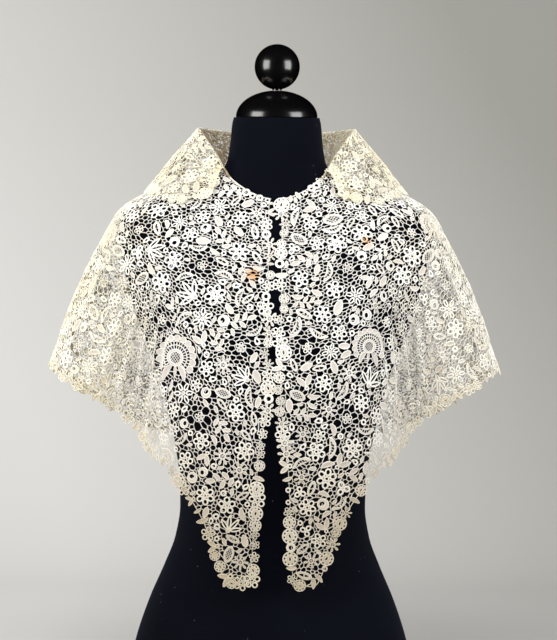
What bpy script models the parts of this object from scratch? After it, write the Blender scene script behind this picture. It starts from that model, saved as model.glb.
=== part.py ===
# Lace pelerine on a dress form: a shoulder cape in two fronts and a back, with a turned-down collar.
# Metres, +Z up. The form stands on z = 0 and faces -Y; the wearer's left side is +X.
import math
from collections import namedtuple

import bpy
import numpy as np
from mathutils import Vector
from mathutils.geometry import delaunay_2d_cdt

# Driving sizes
WALL = 0.0015              # thickness of the lace
SEAM_GAP = 0.0004          # between two panels that are joined edge to edge
SEAM_STEP = 0.0130         # point spacing along a seam
SCALLOP_PITCH = 0.0168     # one border disc
SCALLOP_DEPTH = 0.0050     # how far a border disc stands out of the edge
EDGE_MARGIN = 0.0095       # uncut cloth between an opening and an edge

# The openings that are cut through lie in rings, each round one flower of the lace
FLOWER_ROWS = 0.0860       # from one row of flowers to the next, down the cloth
FLOWER_COLUMNS = 0.0980    # from one flower to the next in its row
FIRST_FLOWERS = 0.0400     # from the neckline to the first row
OPENINGS_ROUND_FLOWER = 5
OPENING_REACH = 0.0108     # from the flower's centre to the middle of an opening
OPENING_LENGTH = 0.0090
OPENING_WIDTH = 0.0058

# Points that hold the cloth's curve between its openings
CURVE_ROWS = 0.0310
CURVE_TURN = math.radians(6)
COARSE_CURVE_TURN = math.radians(18)
COARSE_ABOVE = 0.0850      # nearer to the neckline than this, the rings are short

# Colours, roughness
LACE_COLOUR = (0.86, 0.82, 0.72, 1.0)
CLOTH_COLOUR = (0.010, 0.011, 0.020, 1.0)
LACQUER_COLOUR = (0.004, 0.004, 0.005, 1.0)

# Level sections of the dress form, from its foot to the top of its neck
FormSection = namedtuple("FormSection", "height half_width front back squareness")
FORM_SECTIONS = (
    FormSection(0.000, 0.1770, 0.116, 0.120, 2.20),
    FormSection(0.040, 0.1680, 0.114, 0.118, 2.20),
    FormSection(0.088, 0.1520, 0.106, 0.110, 2.15),
    FormSection(0.130, 0.1340, 0.097, 0.099, 2.10),
    FormSection(0.165, 0.1210, 0.089, 0.088, 2.05),
    FormSection(0.202, 0.1155, 0.085, 0.081, 2.00),
    FormSection(0.240, 0.1170, 0.088, 0.083, 2.00),
    FormSection(0.290, 0.1250, 0.098, 0.091, 2.05),
    FormSection(0.340, 0.1370, 0.110, 0.099, 2.10),
    FormSection(0.390, 0.1530, 0.119, 0.105, 2.20),
    FormSection(0.430, 0.1690, 0.121, 0.108, 2.30),
    FormSection(0.475, 0.1830, 0.114, 0.108, 2.35),
    FormSection(0.515, 0.1920, 0.101, 0.103, 2.35),
    FormSection(0.545, 0.1960, 0.089, 0.094, 2.35),
    FormSection(0.561, 0.1935, 0.081, 0.086, 2.35),
    FormSection(0.571, 0.1820, 0.076, 0.081, 2.30),
    FormSection(0.580, 0.1610, 0.072, 0.077, 2.25),
    FormSection(0.590, 0.1330, 0.067, 0.073, 2.20),
    FormSection(0.602, 0.1020, 0.063, 0.069, 2.10),
    FormSection(0.615, 0.0770, 0.059, 0.064, 2.05),
    FormSection(0.631, 0.0620, 0.056, 0.059, 2.00),
    FormSection(0.655, 0.0578, 0.054, 0.056, 2.00),
    FormSection(0.680, 0.0555, 0.052, 0.054, 2.00),
    FormSection(0.688, 0.0535, 0.051, 0.052, 2.00),
)
FORM_POINTS_ROUND = 36
NECK_TILT = math.radians(5.5)     # the top of the neck leans towards the front
NECK_TOP = FORM_SECTIONS[-1].height
TILT_STARTS = 0.640               # height from which the neck's sections lean

# Neck cap and ball
PIECE_GAP = 0.0004
CAP_RADIUS = 0.0510
CAP_HEIGHT = 0.0330
CAP_SEAT_RADIUS = 0.0070
BALL_RADIUS = 0.0282
BALL_STEM_RADIUS = 0.0060
BALL_STEM_LENGTH = 0.0015

# Rings of the cape from the neckline down. along is the way down the cloth; front, side and back are
# how far the ring reaches from the axis, with the height there; squareness is 2 for an ellipse; fold is
# the depth of the fold that hangs between the front tab and the shoulder wing.
CapeRing = namedtuple("CapeRing", "along front side back front_z side_z back_z squareness fold")
CAPE_RINGS = (
    CapeRing(0.000, 0.0740, 0.0678, 0.0680, 0.5815, 0.6270, 0.6400, 2.50, 0.000),
    CapeRing(0.038, 0.0880, 0.1030, 0.0820, 0.5530, 0.6110, 0.6150, 2.45, 0.000),
    CapeRing(0.078, 0.1015, 0.1460, 0.0945, 0.5220, 0.5985, 0.5830, 2.35, 0.000),
    CapeRing(0.128, 0.1155, 0.1940, 0.1060, 0.4800, 0.5710, 0.5400, 2.35, 0.000),
    CapeRing(0.180, 0.1240, 0.2165, 0.1150, 0.4300, 0.5310, 0.4900, 2.30, 0.007),
    CapeRing(0.248, 0.1260, 0.2445, 0.1205, 0.3620, 0.4695, 0.4280, 2.20, 0.027),
    CapeRing(0.310, 0.1260, 0.2665, 0.1240, 0.2900, 0.4160, 0.3690, 2.10, 0.043),
    CapeRing(0.372, 0.1250, 0.2850, 0.1256, 0.2170, 0.3640, 0.3100, 2.00, 0.050),
    CapeRing(0.490, 0.1230, 0.3120, 0.1262, 0.0930, 0.2700, 0.1960, 2.00, 0.052),
)
FOLD_ANGLE = math.radians(42)
FOLD_WIDTH = math.radians(12)
FOLD_PUSH = Vector((-0.35, 0.94, 0.0))       # which way the fold goes in, on the +X side
BACK_FOLD_ANGLE = math.radians(131)
BACK_FOLD_WIDTH = math.radians(13)
BACK_FOLD_SHARE = 0.42
BACK_FOLD_PUSH = Vector((-0.45, -0.89, 0.0))

# Cut of the cape laid flat: rings become arcs of this turn for each turn on the body
CUT_RADIUS = 0.147
CUT_TURN = 0.487
SHOULDER = math.radians(90)   # the angle at which the fronts and the back are joined

# Lower edge of the cape: height of the edge at each angle from the centre front
HemPoint = namedtuple("HemPoint", "angle_deg height")
HEM = (
    HemPoint(5.0, 0.118),
    HemPoint(9.5, 0.115),
    HemPoint(13.0, 0.146),
    HemPoint(16.0, 0.186),
    HemPoint(19.5, 0.214),
    HemPoint(23.5, 0.236),
    HemPoint(28.0, 0.256),
    HemPoint(33.0, 0.266),
    HemPoint(38.0, 0.284),
    HemPoint(44.0, 0.310),
    HemPoint(52.0, 0.334),
    HemPoint(62.0, 0.353),
    HemPoint(76.0, 0.370),
    HemPoint(90.0, 0.378),
    HemPoint(110.0, 0.362),
    HemPoint(135.0, 0.314),
    HemPoint(160.0, 0.279),
    HemPoint(180.0, 0.270),
)

# Front edge: distance of its scallops' feet from the centre at each height
EdgePoint = namedtuple("EdgePoint", "height out")
FRONT_EDGE = (
    EdgePoint(0.100, 0.0240),
    EdgePoint(0.160, 0.0210),
    EdgePoint(0.220, 0.0182),
    EdgePoint(0.280, 0.0140),
    EdgePoint(0.310, 0.0090),
    EdgePoint(0.350, 0.0058),
    EdgePoint(0.600, 0.0056),
)

# The collar, by the angle from the centre back: the crest of its roll and its outer edge
CollarSection = namedtuple("CollarSection", "angle_deg roll_x roll_y roll_z edge_x edge_y edge_z")
COLLAR_SECTIONS = (
    CollarSection(0, 0.0000, 0.0960, 0.6760, 0.0000, 0.1245, 0.5920),
    CollarSection(35, 0.0570, 0.0850, 0.6770, 0.0860, 0.1090, 0.5940),
    CollarSection(65, 0.0910, 0.0530, 0.6780, 0.1440, 0.0650, 0.5985),
    CollarSection(88, 0.0985, 0.0170, 0.6755, 0.1665, 0.0110, 0.5995),
    CollarSection(105, 0.0890, -0.0130, 0.6600, 0.1530, -0.0340, 0.5915),
    CollarSection(117, 0.0755, -0.0320, 0.6400, 0.1210, -0.0605, 0.5790),
    CollarSection(127, 0.0655, -0.0460, 0.6220, 0.0790, -0.0700, 0.5860),
)
COLLAR_END = math.radians(127)
COLLAR_DEPTH = 0.145          # of the cut, from the seam to the outer edge
COLLAR_CUT_RADIUS = 0.105
COLLAR_CUT_TURN = 0.68
COLLAR_LIFT = 0.0011          # the collar's seam edge above the cape's neckline
COLLAR_SET_OUT = 0.0013
CREST_SHARE = 0.35            # of the depth, from the seam to the crest of the roll
ROLL_SHARE = 0.05             # of the depth, from the crest to each foot of the roll
ROLL_RADIUS = 0.0050
ROLL_MOST_OF_STAND = 0.30     # of the stand's height, where that is less than the radius above
STAND_HOLLOW = 0.0010         # how far the stand curves in between seam and roll
FALL_CROWN = 0.0015           # how far the fall curves out between roll and edge
COLLAR_FLOWER_ROW = 0.70      # share of the depth at which its flowers lie
COLLAR_CURVE_ROWS = (0.10, 0.20, 0.30, 0.35, 0.40, 0.50, 0.62, 0.75, 0.88)
COLLAR_CURVE_TURN = math.radians(9)


def material(name, colour, roughness):
    made = bpy.data.materials.new(name)
    made.use_nodes = True
    shader = made.node_tree.nodes["Principled BSDF"]
    shader.inputs["Base Color"].default_value = colour
    shader.inputs["Roughness"].default_value = roughness
    shader.inputs["Metallic"].default_value = 0.0
    return made


def link(name, mesh, collection, finish):
    made = bpy.data.objects.new(name, mesh)
    collection.objects.link(made)
    mesh.materials.append(finish)
    mesh.shade_smooth()
    return made


def smooth_value(xs, ys, x, level_ends=""):
    """A smooth curve through the points (xs, ys) that never overshoots them, read at x. level_ends
    names the ends, low or high, at which it runs level, as where the shape is mirrored."""
    secants = np.diff(ys) / np.diff(xs)
    slopes = np.concatenate([secants[:1], np.zeros(len(secants) - 1), secants[-1:]])
    before, after = secants[:-1], secants[1:]
    agree = before * after > 0
    slopes[1:-1][agree] = 2 * before[agree] * after[agree] / (before + after)[agree]
    if "low" in level_ends:
        slopes[0] = 0.0
    if "high" in level_ends:
        slopes[-1] = 0.0
    i = int(np.clip(np.searchsorted(xs, x) - 1, 0, len(secants) - 1))
    span = xs[i + 1] - xs[i]
    t = (x - xs[i]) / span
    return float(
        (2 * t**3 - 3 * t**2 + 1) * ys[i]
        + (t**3 - 2 * t**2 + t) * span * slopes[i]
        + (3 * t**2 - 2 * t**3) * ys[i + 1]
        + (t**3 - t**2) * span * slopes[i + 1]
    )


def columns(table):
    """The table's named columns, as arrays."""
    return {field: np.array([getattr(row, field) for row in table]) for field in table[0]._fields}


CAPE = columns(CAPE_RINGS)
COLLAR = columns(COLLAR_SECTIONS)
HEM_COLUMNS = columns(HEM)
EDGE_COLUMNS = columns(FRONT_EDGE)


def dent(angle, at, width):
    return math.exp(-(((angle - at) / width) ** 2))


def cape_point(angle, along):
    """Middle of the lace at this angle from the centre front, positive towards +X, this far down it."""
    ring = {name: smooth_value(CAPE["along"], CAPE[name], along) for name in CapeRing._fields[1:]}
    turn = abs(angle)
    forward, sideways = math.cos(turn), math.sin(turn)
    power = ring["squareness"]
    swell = (abs(forward) ** power + abs(sideways) ** power) ** (-1 / power)
    depth, height = (ring["front"], ring["front_z"]) if forward > 0 else (ring["back"], ring["back_z"])
    point = Vector((
        ring["side"] * sideways * swell,
        -depth * forward * swell,
        ring["side_z"] + (height - ring["side_z"]) * forward**2,
    ))
    point += FOLD_PUSH * ring["fold"] * dent(turn, FOLD_ANGLE, FOLD_WIDTH)
    back_share = BACK_FOLD_SHARE * dent(turn, BACK_FOLD_ANGLE, BACK_FOLD_WIDTH)
    point += BACK_FOLD_PUSH * ring["fold"] * back_share
    point.x = math.copysign(point.x, angle)
    return point


def collar_point(angle, across):
    """Middle of the collar's lace at this angle from the centre back, this far from its seam."""
    turn = math.degrees(abs(angle))
    row = {}
    for name in CollarSection._fields[1:]:
        level = "" if name.endswith("_x") else "low"
        row[name] = smooth_value(COLLAR["angle_deg"], COLLAR[name], turn, level)
    neckline = cape_point(math.pi - abs(angle), 0.0)
    outward = Vector((neckline.x, neckline.y, 0.0)).normalized()
    seam = neckline + outward * COLLAR_SET_OUT + Vector((0.0, 0.0, COLLAR_LIFT))
    roll = Vector((row["roll_x"], row["roll_y"], row["roll_z"]))
    edge = Vector((row["edge_x"], row["edge_y"], row["edge_z"]))
    out = roll - seam
    out.z = 0.0
    out = out.normalized() if out.length > 1e-6 else outward
    # The roll is narrower where the collar is low, at its front ends
    radius = min(ROLL_RADIUS, ROLL_MOST_OF_STAND * (roll.z - seam.z))
    flank = Vector((0.0, 0.0, radius))
    stations = (
        (0.0, seam),
        (CREST_SHARE / 2, seam.lerp(roll, 0.5) - out * STAND_HOLLOW),
        (CREST_SHARE - ROLL_SHARE, roll - out * radius - flank),
        (CREST_SHARE, roll),
        (CREST_SHARE + ROLL_SHARE, roll + out * radius - flank),
        ((1 + CREST_SHARE) / 2, roll.lerp(edge, 0.5) + out * FALL_CROWN),
        (1.0, edge),
    )
    shares = np.array([share for share, _ in stations])
    places = np.array([place for _, place in stations])
    point = Vector([smooth_value(shares, places[:, axis], across / COLLAR_DEPTH) for axis in range(3)])
    point.x *= math.copysign(1.0, angle)
    return point


class Cloth:
    """A sheet of lace: its curved form, and its cut laid flat as arcs round one centre."""

    def __init__(self, form, cut_radius, cut_turn):
        self.form = form
        self.cut_radius = cut_radius
        self.cut_turn = cut_turn

    def flat(self, angle, along):
        radius, turn = self.cut_radius + along, self.cut_turn * angle
        return np.array((radius * math.sin(turn), -radius * math.cos(turn)))

    def from_flat(self, place):
        radius = math.hypot(place[0], place[1])
        return math.atan2(place[0], -place[1]) / self.cut_turn, radius - self.cut_radius

    def point(self, angle, along):
        return self.form(angle, along)

    def step(self, angle, along):
        """How far the cloth goes for one unit of angle and of along, here."""
        small = 1e-4
        here = self.form(angle, along)
        return (
            max((self.form(angle + small, along) - here).length / small, 1e-6),
            max((self.form(angle, along + small) - here).length / small, 1e-6),
        )


CAPE_CLOTH = Cloth(cape_point, CUT_RADIUS, CUT_TURN)
COLLAR_CLOTH = Cloth(collar_point, COLLAR_CUT_RADIUS, COLLAR_CUT_TURN)


def along_at_height(angle, height):
    """How far down the cape its cloth reaches this height."""
    low, high = 0.0, CAPE_RINGS[-1].along + 0.03
    for _ in range(40):
        middle = (low + high) / 2
        if cape_point(angle, middle).z > height:
            low = middle
        else:
            high = middle
    return low


def hem_along(angle):
    degrees = math.degrees(abs(angle))
    height = smooth_value(HEM_COLUMNS["angle_deg"], HEM_COLUMNS["height"], degrees, "high")
    return along_at_height(angle, height)


def front_edge_angle(along):
    """The angle at which the front edge stands the stated distance from the centre."""
    out = smooth_value(EDGE_COLUMNS["height"], EDGE_COLUMNS["out"], cape_point(0.0, along).z)
    reach = smooth_value(CAPE["along"], CAPE["side"], along)
    return math.asin(out / reach)


def spread_evenly(cloth, path, step):
    """The path, as (angle, along) pairs, read again at points about one step apart on the cloth."""
    places = [cloth.point(*pair) for pair in path]
    lengths = [(b - a).length for a, b in zip(places, places[1:])]
    run = np.concatenate([[0.0], np.cumsum(lengths)])
    count = max(1, round(run[-1] / step))
    at = np.linspace(0.0, run[-1], count + 1)
    pairs = np.array(path)
    return [(float(np.interp(s, run, pairs[:, 0])), float(np.interp(s, run, pairs[:, 1]))) for s in at]


def plain_edge(cloth, path):
    """Points of the flat cut along a seam. The last one belongs to the next edge."""
    return [cloth.flat(*pair) for pair in spread_evenly(cloth, path, SEAM_STEP)][:-1]


SCALLOP_PROFILE = (0.0, 0.78, 1.0, 0.78)     # height of the border's outline at each quarter of a disc


def scalloped_edge(cloth, path):
    """Points of the flat cut along a scalloped border. The cloth lies to the left of the path."""
    feet = spread_evenly(cloth, path, SCALLOP_PITCH)
    made = []
    for (first_angle, first_along), (last_angle, last_along) in zip(feet, feet[1:]):
        around, down = cloth.step(0.5 * (first_angle + last_angle), 0.5 * (first_along + last_along))
        run_around = (last_angle - first_angle) * around
        run_down = (last_along - first_along) * down
        rise = SCALLOP_DEPTH / math.hypot(run_around, run_down)
        for quarter, height in enumerate(SCALLOP_PROFILE):
            share = quarter / len(SCALLOP_PROFILE)
            angle = first_angle + (last_angle - first_angle) * share - run_down * height * rise / around
            along = first_along + (last_along - first_along) * share + run_around * height * rise / down
            made.append(cloth.flat(angle, along))
    return made


def sampled(function, start, stop, count):
    return [function(value) for value in np.linspace(start, stop, count)]


def inside(outline, places):
    """Which of the places lie inside the closed outline."""
    found = np.zeros(len(places), bool)
    for a, b in zip(outline, np.roll(outline, -1, axis=0)):
        crosses = (a[1] > places[:, 1]) != (b[1] > places[:, 1])
        level = np.where(crosses, places[:, 1], a[1])
        at = a[0] + (level - a[1]) * (b[0] - a[0]) / (b[1] - a[1] if b[1] != a[1] else 1.0)
        found ^= crosses & (places[:, 0] < at)
    return found


def distance_to(outline, places):
    """Distance of each place from the closed outline."""
    best = np.full(len(places), np.inf)
    for a, b in zip(outline, np.roll(outline, -1, axis=0)):
        run = b - a
        share = np.clip(((places - a) @ run) / max(run @ run, 1e-12), 0.0, 1.0)
        best = np.minimum(best, np.linalg.norm(places - a - share[:, None] * run, axis=1))
    return best


def flowers(cloth, far_angle, first_column, along_range):
    """Centres of the flowers in staggered rows, at real spacing, from the centre line out to one side."""
    made = []
    rows = np.arange(along_range[0], along_range[1], FLOWER_ROWS)
    for row, along in enumerate(rows):
        around, _ = cloth.step(far_angle / 2, along)
        column = first_column + 0.5 * (row % 2)
        while column * FLOWER_COLUMNS / around < far_angle:
            made.append((column * FLOWER_COLUMNS / around, float(along)))
            column += 1
    return made


def curve_points(far_angle, reach, row_step):
    """Rows of points from the centre line out to one side, fewer to a row near the neckline."""
    made = []
    for along in np.arange(row_step / 2, reach, row_step):
        turn = COARSE_CURVE_TURN if along < COARSE_ABOVE else CURVE_TURN
        made += [(angle, float(along)) for angle in np.arange(turn / 2, far_angle, turn)]
    return made


def opening_corners(cloth, flower, number):
    """Corners, in the flat cut, of one of the kite-shaped openings round a flower, at its real size."""
    around, down = cloth.step(*flower)
    turn = math.tau * (number + 0.25) / OPENINGS_ROUND_FLOWER
    outward = np.array((math.cos(turn), math.sin(turn)))
    across = np.array((-outward[1], outward[0]))
    middle = outward * OPENING_REACH
    kite = (
        middle - outward * OPENING_LENGTH * 0.45,
        middle + outward * OPENING_LENGTH * 0.1 - across * OPENING_WIDTH / 2,
        middle + outward * OPENING_LENGTH * 0.55,
        middle + outward * OPENING_LENGTH * 0.1 + across * OPENING_WIDTH / 2,
    )
    return np.array([cloth.flat(flower[0] + x / around, flower[1] + y / down) for x, y in kite])


def lace_sheet(name, cloth, outline, flower_centres, curve, finish, collection):
    """The outline filled with triangles round its openings, laid on the curved form, with its wall."""
    outline = np.array(outline)
    openings = []
    for flower in flower_centres:
        for number in range(OPENINGS_ROUND_FLOWER):
            corners = opening_corners(cloth, flower, number)
            if inside(outline, corners).all() and distance_to(outline, corners).min() > EDGE_MARGIN:
                openings.append(corners)
    grid = np.array([cloth.flat(*pair) for pair in curve])
    clear = inside(outline, grid) & (distance_to(outline, grid) > EDGE_MARGIN)
    for corners in openings:
        clear &= np.linalg.norm(grid - corners.mean(axis=0), axis=1) > OPENING_LENGTH
    places, edges = [], []
    for loop in [outline, *openings]:
        start = len(places)
        places += [Vector(p) for p in loop]
        edges += [(start + i, start + (i + 1) % len(loop)) for i in range(len(loop))]
    places += [Vector(p) for p in grid[clear]]
    flat_points, _, faces, _, _, _ = delaunay_2d_cdt(places, edges, [], 0, 1e-9)
    corners = np.array([tuple(p) for p in flat_points])
    middles = np.array([corners[list(face)].mean(axis=0) for face in faces])
    keep = inside(outline, middles)
    for loop in openings:
        keep &= ~inside(loop, middles)
    faces = [tuple(face) for face, kept in zip(faces, keep) if kept]
    used = sorted({i for face in faces for i in face})
    number_of = {old: new for new, old in enumerate(used)}
    mesh = bpy.data.meshes.new(name)
    mesh.from_pydata(
        [cloth.point(*cloth.from_flat(corners[i])) for i in used],
        [],
        [tuple(number_of[i] for i in face) for face in faces],
    )
    mesh.validate()
    made = link(name, mesh, collection, finish)
    wall = made.modifiers.new("wall", "SOLIDIFY")
    wall.thickness = WALL
    wall.offset = 0.0
    print(name, len(openings), "openings,", len(faces), "faces a side")
    return made


def shoulder_angle(along, towards_front):
    """The angle of the shoulder seam's edge: the front's for +1 and the back's for -1."""
    around, _ = CAPE_CLOTH.step(SHOULDER, along)
    return SHOULDER - towards_front * SEAM_GAP / 2 / around


def make_front(name, side, finish, collection):
    """One front: down the centre edge to the tab's tip, out along the hem, up the shoulder seam, and the
    neckline. side is +1 or -1; the outline always runs anticlockwise in the flat cut."""
    tip_along = hem_along(math.radians(HEM[0].angle_deg))
    seam_foot = shoulder_angle(hem_along(SHOULDER), +1)
    seam_head = shoulder_angle(0.0, +1)
    centre = sampled(lambda s: (front_edge_angle(s), s), 0.0, tip_along, 60)
    hem = sampled(lambda a: (a, hem_along(a)), math.radians(HEM[0].angle_deg), seam_foot, 90)
    shoulder = sampled(lambda s: (shoulder_angle(s, +1), s), hem_along(seam_foot), 0.0, 30)
    neckline = sampled(lambda a: (a, 0.0), seam_head, centre[0][0], 20)
    edges = (
        (scalloped_edge, centre),
        (scalloped_edge, hem),
        (plain_edge, shoulder),
        (plain_edge, neckline),
    )
    outline = []
    for make, path in edges[::side]:
        path = [(side * angle, along) for angle, along in path[::side]]
        outline += make(CAPE_CLOTH, path)
    reach = CAPE_RINGS[-1].along
    centres = flowers(CAPE_CLOTH, SHOULDER, 0.38, (FIRST_FLOWERS, reach))
    curve = curve_points(SHOULDER, reach, CURVE_ROWS)
    centres, curve = ([(side * angle, along) for angle, along in pairs] for pairs in (centres, curve))
    return lace_sheet(name, CAPE_CLOTH, outline, centres, curve, finish, collection)


def mirrored(pairs, middle):
    """The pairs on both sides of a middle angle, and the ones that lie on it once."""
    return [
        (middle + side * angle, along)
        for angle, along in pairs
        for side in (1, -1)
        if side > 0 or angle > 1e-6
    ]


def make_back(name, finish, collection):
    """The back, from one shoulder seam round to the other. Its angles run on past the centre back."""
    low = shoulder_angle(0.0, -1)
    seam_foot = shoulder_angle(hem_along(SHOULDER), -1)
    down_left = sampled(lambda s: (shoulder_angle(s, -1), s), 0.0, hem_along(seam_foot), 30)
    up_right = [(math.tau - angle, along) for angle, along in reversed(down_left)]
    hem = sampled(lambda a: (a, hem_along(min(a, math.tau - a))), seam_foot, math.tau - seam_foot, 160)
    neckline = sampled(lambda a: (a, 0.0), math.tau - low, low, 40)
    outline = (
        plain_edge(BACK_CLOTH, down_left)
        + scalloped_edge(BACK_CLOTH, hem)
        + plain_edge(BACK_CLOTH, up_right)
        + plain_edge(BACK_CLOTH, neckline)
    )
    reach = CAPE_RINGS[-2].along + 0.03
    centres = mirrored(flowers(BACK_CLOTH, SHOULDER, 0.0, (FIRST_FLOWERS, reach)), math.pi)
    curve = mirrored(curve_points(SHOULDER, reach, CURVE_ROWS), math.pi)
    return lace_sheet(name, BACK_CLOTH, outline, centres, curve, finish, collection)


def back_form(angle, along):
    return cape_point(angle if angle <= math.pi else angle - math.tau, along)


class BackCloth(Cloth):
    """The back's cut is turned so that its centre lies straight down from the arcs' centre."""

    def flat(self, angle, along):
        return super().flat(angle - math.pi, along)

    def from_flat(self, place):
        angle, along = super().from_flat(place)
        return angle + math.pi, along


BACK_CLOTH = BackCloth(back_form, CUT_RADIUS, CUT_TURN)


def make_collar(name, finish, collection):
    """The turned-down collar: seam, rounded front ends and a scalloped outer edge."""
    end = COLLAR_END
    seam = sampled(lambda a: (a, 0.0), end, -end, 60)
    outer = sampled(lambda a: (a, COLLAR_DEPTH), -end, end, 120)
    left_end = sampled(lambda s: (-end, s), 0.0, COLLAR_DEPTH, 20)
    right_end = sampled(lambda s: (end, s), COLLAR_DEPTH, 0.0, 20)
    outline = (
        plain_edge(COLLAR_CLOTH, left_end)
        + scalloped_edge(COLLAR_CLOTH, outer)
        + plain_edge(COLLAR_CLOTH, right_end)
        + plain_edge(COLLAR_CLOTH, seam)
    )
    rows = (COLLAR_FLOWER_ROW * COLLAR_DEPTH, COLLAR_DEPTH)
    centres = mirrored(flowers(COLLAR_CLOTH, end, 0.0, rows), 0.0)
    curve = []
    for share in COLLAR_CURVE_ROWS:
        for angle in np.arange(COLLAR_CURVE_TURN / 2, end, COLLAR_CURVE_TURN):
            curve += [(angle, share * COLLAR_DEPTH), (-angle, share * COLLAR_DEPTH)]
    return lace_sheet(name, COLLAR_CLOTH, outline, centres, curve, finish, collection)


def form_ring(section):
    """Points round one level section of the dress form; the neck's sections lean forward."""
    lean = math.tan(NECK_TILT) * max(0.0, (section.height - TILT_STARTS) / (NECK_TOP - TILT_STARTS))
    ring = []
    for i in range(FORM_POINTS_ROUND):
        turn = math.tau * i / FORM_POINTS_ROUND
        power = 2 / section.squareness
        x = section.half_width * math.copysign(abs(math.sin(turn)) ** power, math.sin(turn))
        depth = section.front if math.cos(turn) > 0 else section.back
        y = -depth * math.copysign(abs(math.cos(turn)) ** power, math.cos(turn))
        ring.append(Vector((x, y, section.height + y * lean)))
    return ring


def make_dress_form(name, finish, collection):
    """A smooth, closed, limbless form: a loft through its level sections, flat at its foot and neck."""
    rings = [form_ring(section) for section in FORM_SECTIONS]
    count = FORM_POINTS_ROUND
    faces = [tuple(reversed(range(count))), tuple(range((len(rings) - 1) * count, len(rings) * count))]
    for level in range(len(rings) - 1):
        for i in range(count):
            j = (i + 1) % count
            low, high = level * count, (level + 1) * count
            faces.append((low + i, low + j, high + j, high + i))
    mesh = bpy.data.meshes.new(name)
    mesh.from_pydata([point for ring in rings for point in ring], [], faces)
    mesh.validate()
    return link(name, mesh, collection, finish)


def turned(name, profile, steps, finish, collection):
    """A turned piece: its profile runs down the outer side, from the axis above to the axis below."""
    mesh = bpy.data.meshes.new(name)
    mesh.from_pydata([(r, 0.0, z) for r, z in profile], [(i, i + 1) for i in range(len(profile) - 1)], [])
    made = link(name, mesh, collection, finish)
    screw = made.modifiers.new("turn", "SCREW")
    screw.steps = steps
    screw.render_steps = steps
    screw.use_merge_vertices = True
    screw.merge_threshold = 0.00001
    screw.use_smooth_shade = True
    return made


def make_cap(name, finish, collection):
    """The lacquered cap: half an ellipsoid with a small flat on top, where the ball stands."""
    profile = [(0.0, CAP_HEIGHT)]
    start = math.asin(CAP_SEAT_RADIUS / CAP_RADIUS)
    top = CAP_HEIGHT / math.cos(start)
    for turn in np.linspace(start, math.pi / 2, 11):
        profile.append((CAP_RADIUS * math.sin(turn), top * math.cos(turn)))
    profile[1] = (CAP_SEAT_RADIUS, CAP_HEIGHT)
    profile[-1] = (CAP_RADIUS, 0.0)
    profile.append((0.0, 0.0))
    cap = turned(name, profile, 40, finish, collection)
    cap.location = (0.0, 0.0, NECK_TOP + PIECE_GAP)
    cap.rotation_euler = (NECK_TILT, 0.0, 0.0)
    return cap


def make_ball(name, finish, collection):
    """The ball finial, on a short stem that stands on the cap's flat."""
    start = math.asin(BALL_STEM_RADIUS / BALL_RADIUS)
    drop = BALL_RADIUS * math.cos(start)
    profile = [(0.0, BALL_RADIUS)]
    for turn in np.linspace(0.0, math.pi - start, 17)[1:]:
        profile.append((BALL_RADIUS * math.sin(turn), BALL_RADIUS * math.cos(turn)))
    profile.append((BALL_STEM_RADIUS, -drop - BALL_STEM_LENGTH))
    profile.append((0.0, -drop - BALL_STEM_LENGTH))
    ball = turned(name, profile, 32, finish, collection)
    rise = CAP_HEIGHT + PIECE_GAP + BALL_STEM_LENGTH + drop
    up = Vector((0.0, -math.sin(NECK_TILT), math.cos(NECK_TILT)))
    ball.location = Vector((0.0, 0.0, NECK_TOP + PIECE_GAP)) + up * rise
    ball.rotation_euler = (NECK_TILT, 0.0, 0.0)
    return ball


def main():
    for old in list(bpy.data.objects):
        bpy.data.objects.remove(old)
    collection = bpy.data.collections.new("pelerine_on_dress_form")
    bpy.context.scene.collection.children.link(collection)
    lace = material("lace", LACE_COLOUR, 0.85)
    jersey = material("form_cloth", CLOTH_COLOUR, 0.9)
    lacquer = material("lacquer", LACQUER_COLOUR, 0.12)
    make_dress_form("dress_form", jersey, collection)
    make_cap("neck_cap", lacquer, collection)
    make_ball("ball_finial", lacquer, collection)
    make_front("front_left", +1, lace, collection)
    make_front("front_right", -1, lace, collection)
    make_back("back", lace, collection)
    make_collar("collar", lace, collection)


main()
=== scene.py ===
# Lace pelerine on a dress form: the lace, the form and the lacquer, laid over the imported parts.
# Metres, +Z up, -Y is the front, +X the wearer's left.
import math

import bpy
import numpy as np
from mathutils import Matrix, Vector
from mathutils.geometry import delaunay_2d_cdt


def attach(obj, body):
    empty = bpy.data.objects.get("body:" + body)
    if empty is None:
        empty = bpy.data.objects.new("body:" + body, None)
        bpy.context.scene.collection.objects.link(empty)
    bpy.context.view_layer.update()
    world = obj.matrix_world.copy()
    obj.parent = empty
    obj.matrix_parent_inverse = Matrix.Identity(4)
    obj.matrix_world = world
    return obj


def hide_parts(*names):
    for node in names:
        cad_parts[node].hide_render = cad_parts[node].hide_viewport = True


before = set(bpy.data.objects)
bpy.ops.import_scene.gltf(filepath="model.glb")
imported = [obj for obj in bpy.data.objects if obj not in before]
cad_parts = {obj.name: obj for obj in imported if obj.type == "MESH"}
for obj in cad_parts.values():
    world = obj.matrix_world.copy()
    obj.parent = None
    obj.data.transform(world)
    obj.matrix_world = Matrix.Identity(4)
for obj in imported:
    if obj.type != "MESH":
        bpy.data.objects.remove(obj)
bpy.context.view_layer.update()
mm = 0.001
dice = np.random.default_rng(1903)

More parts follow.
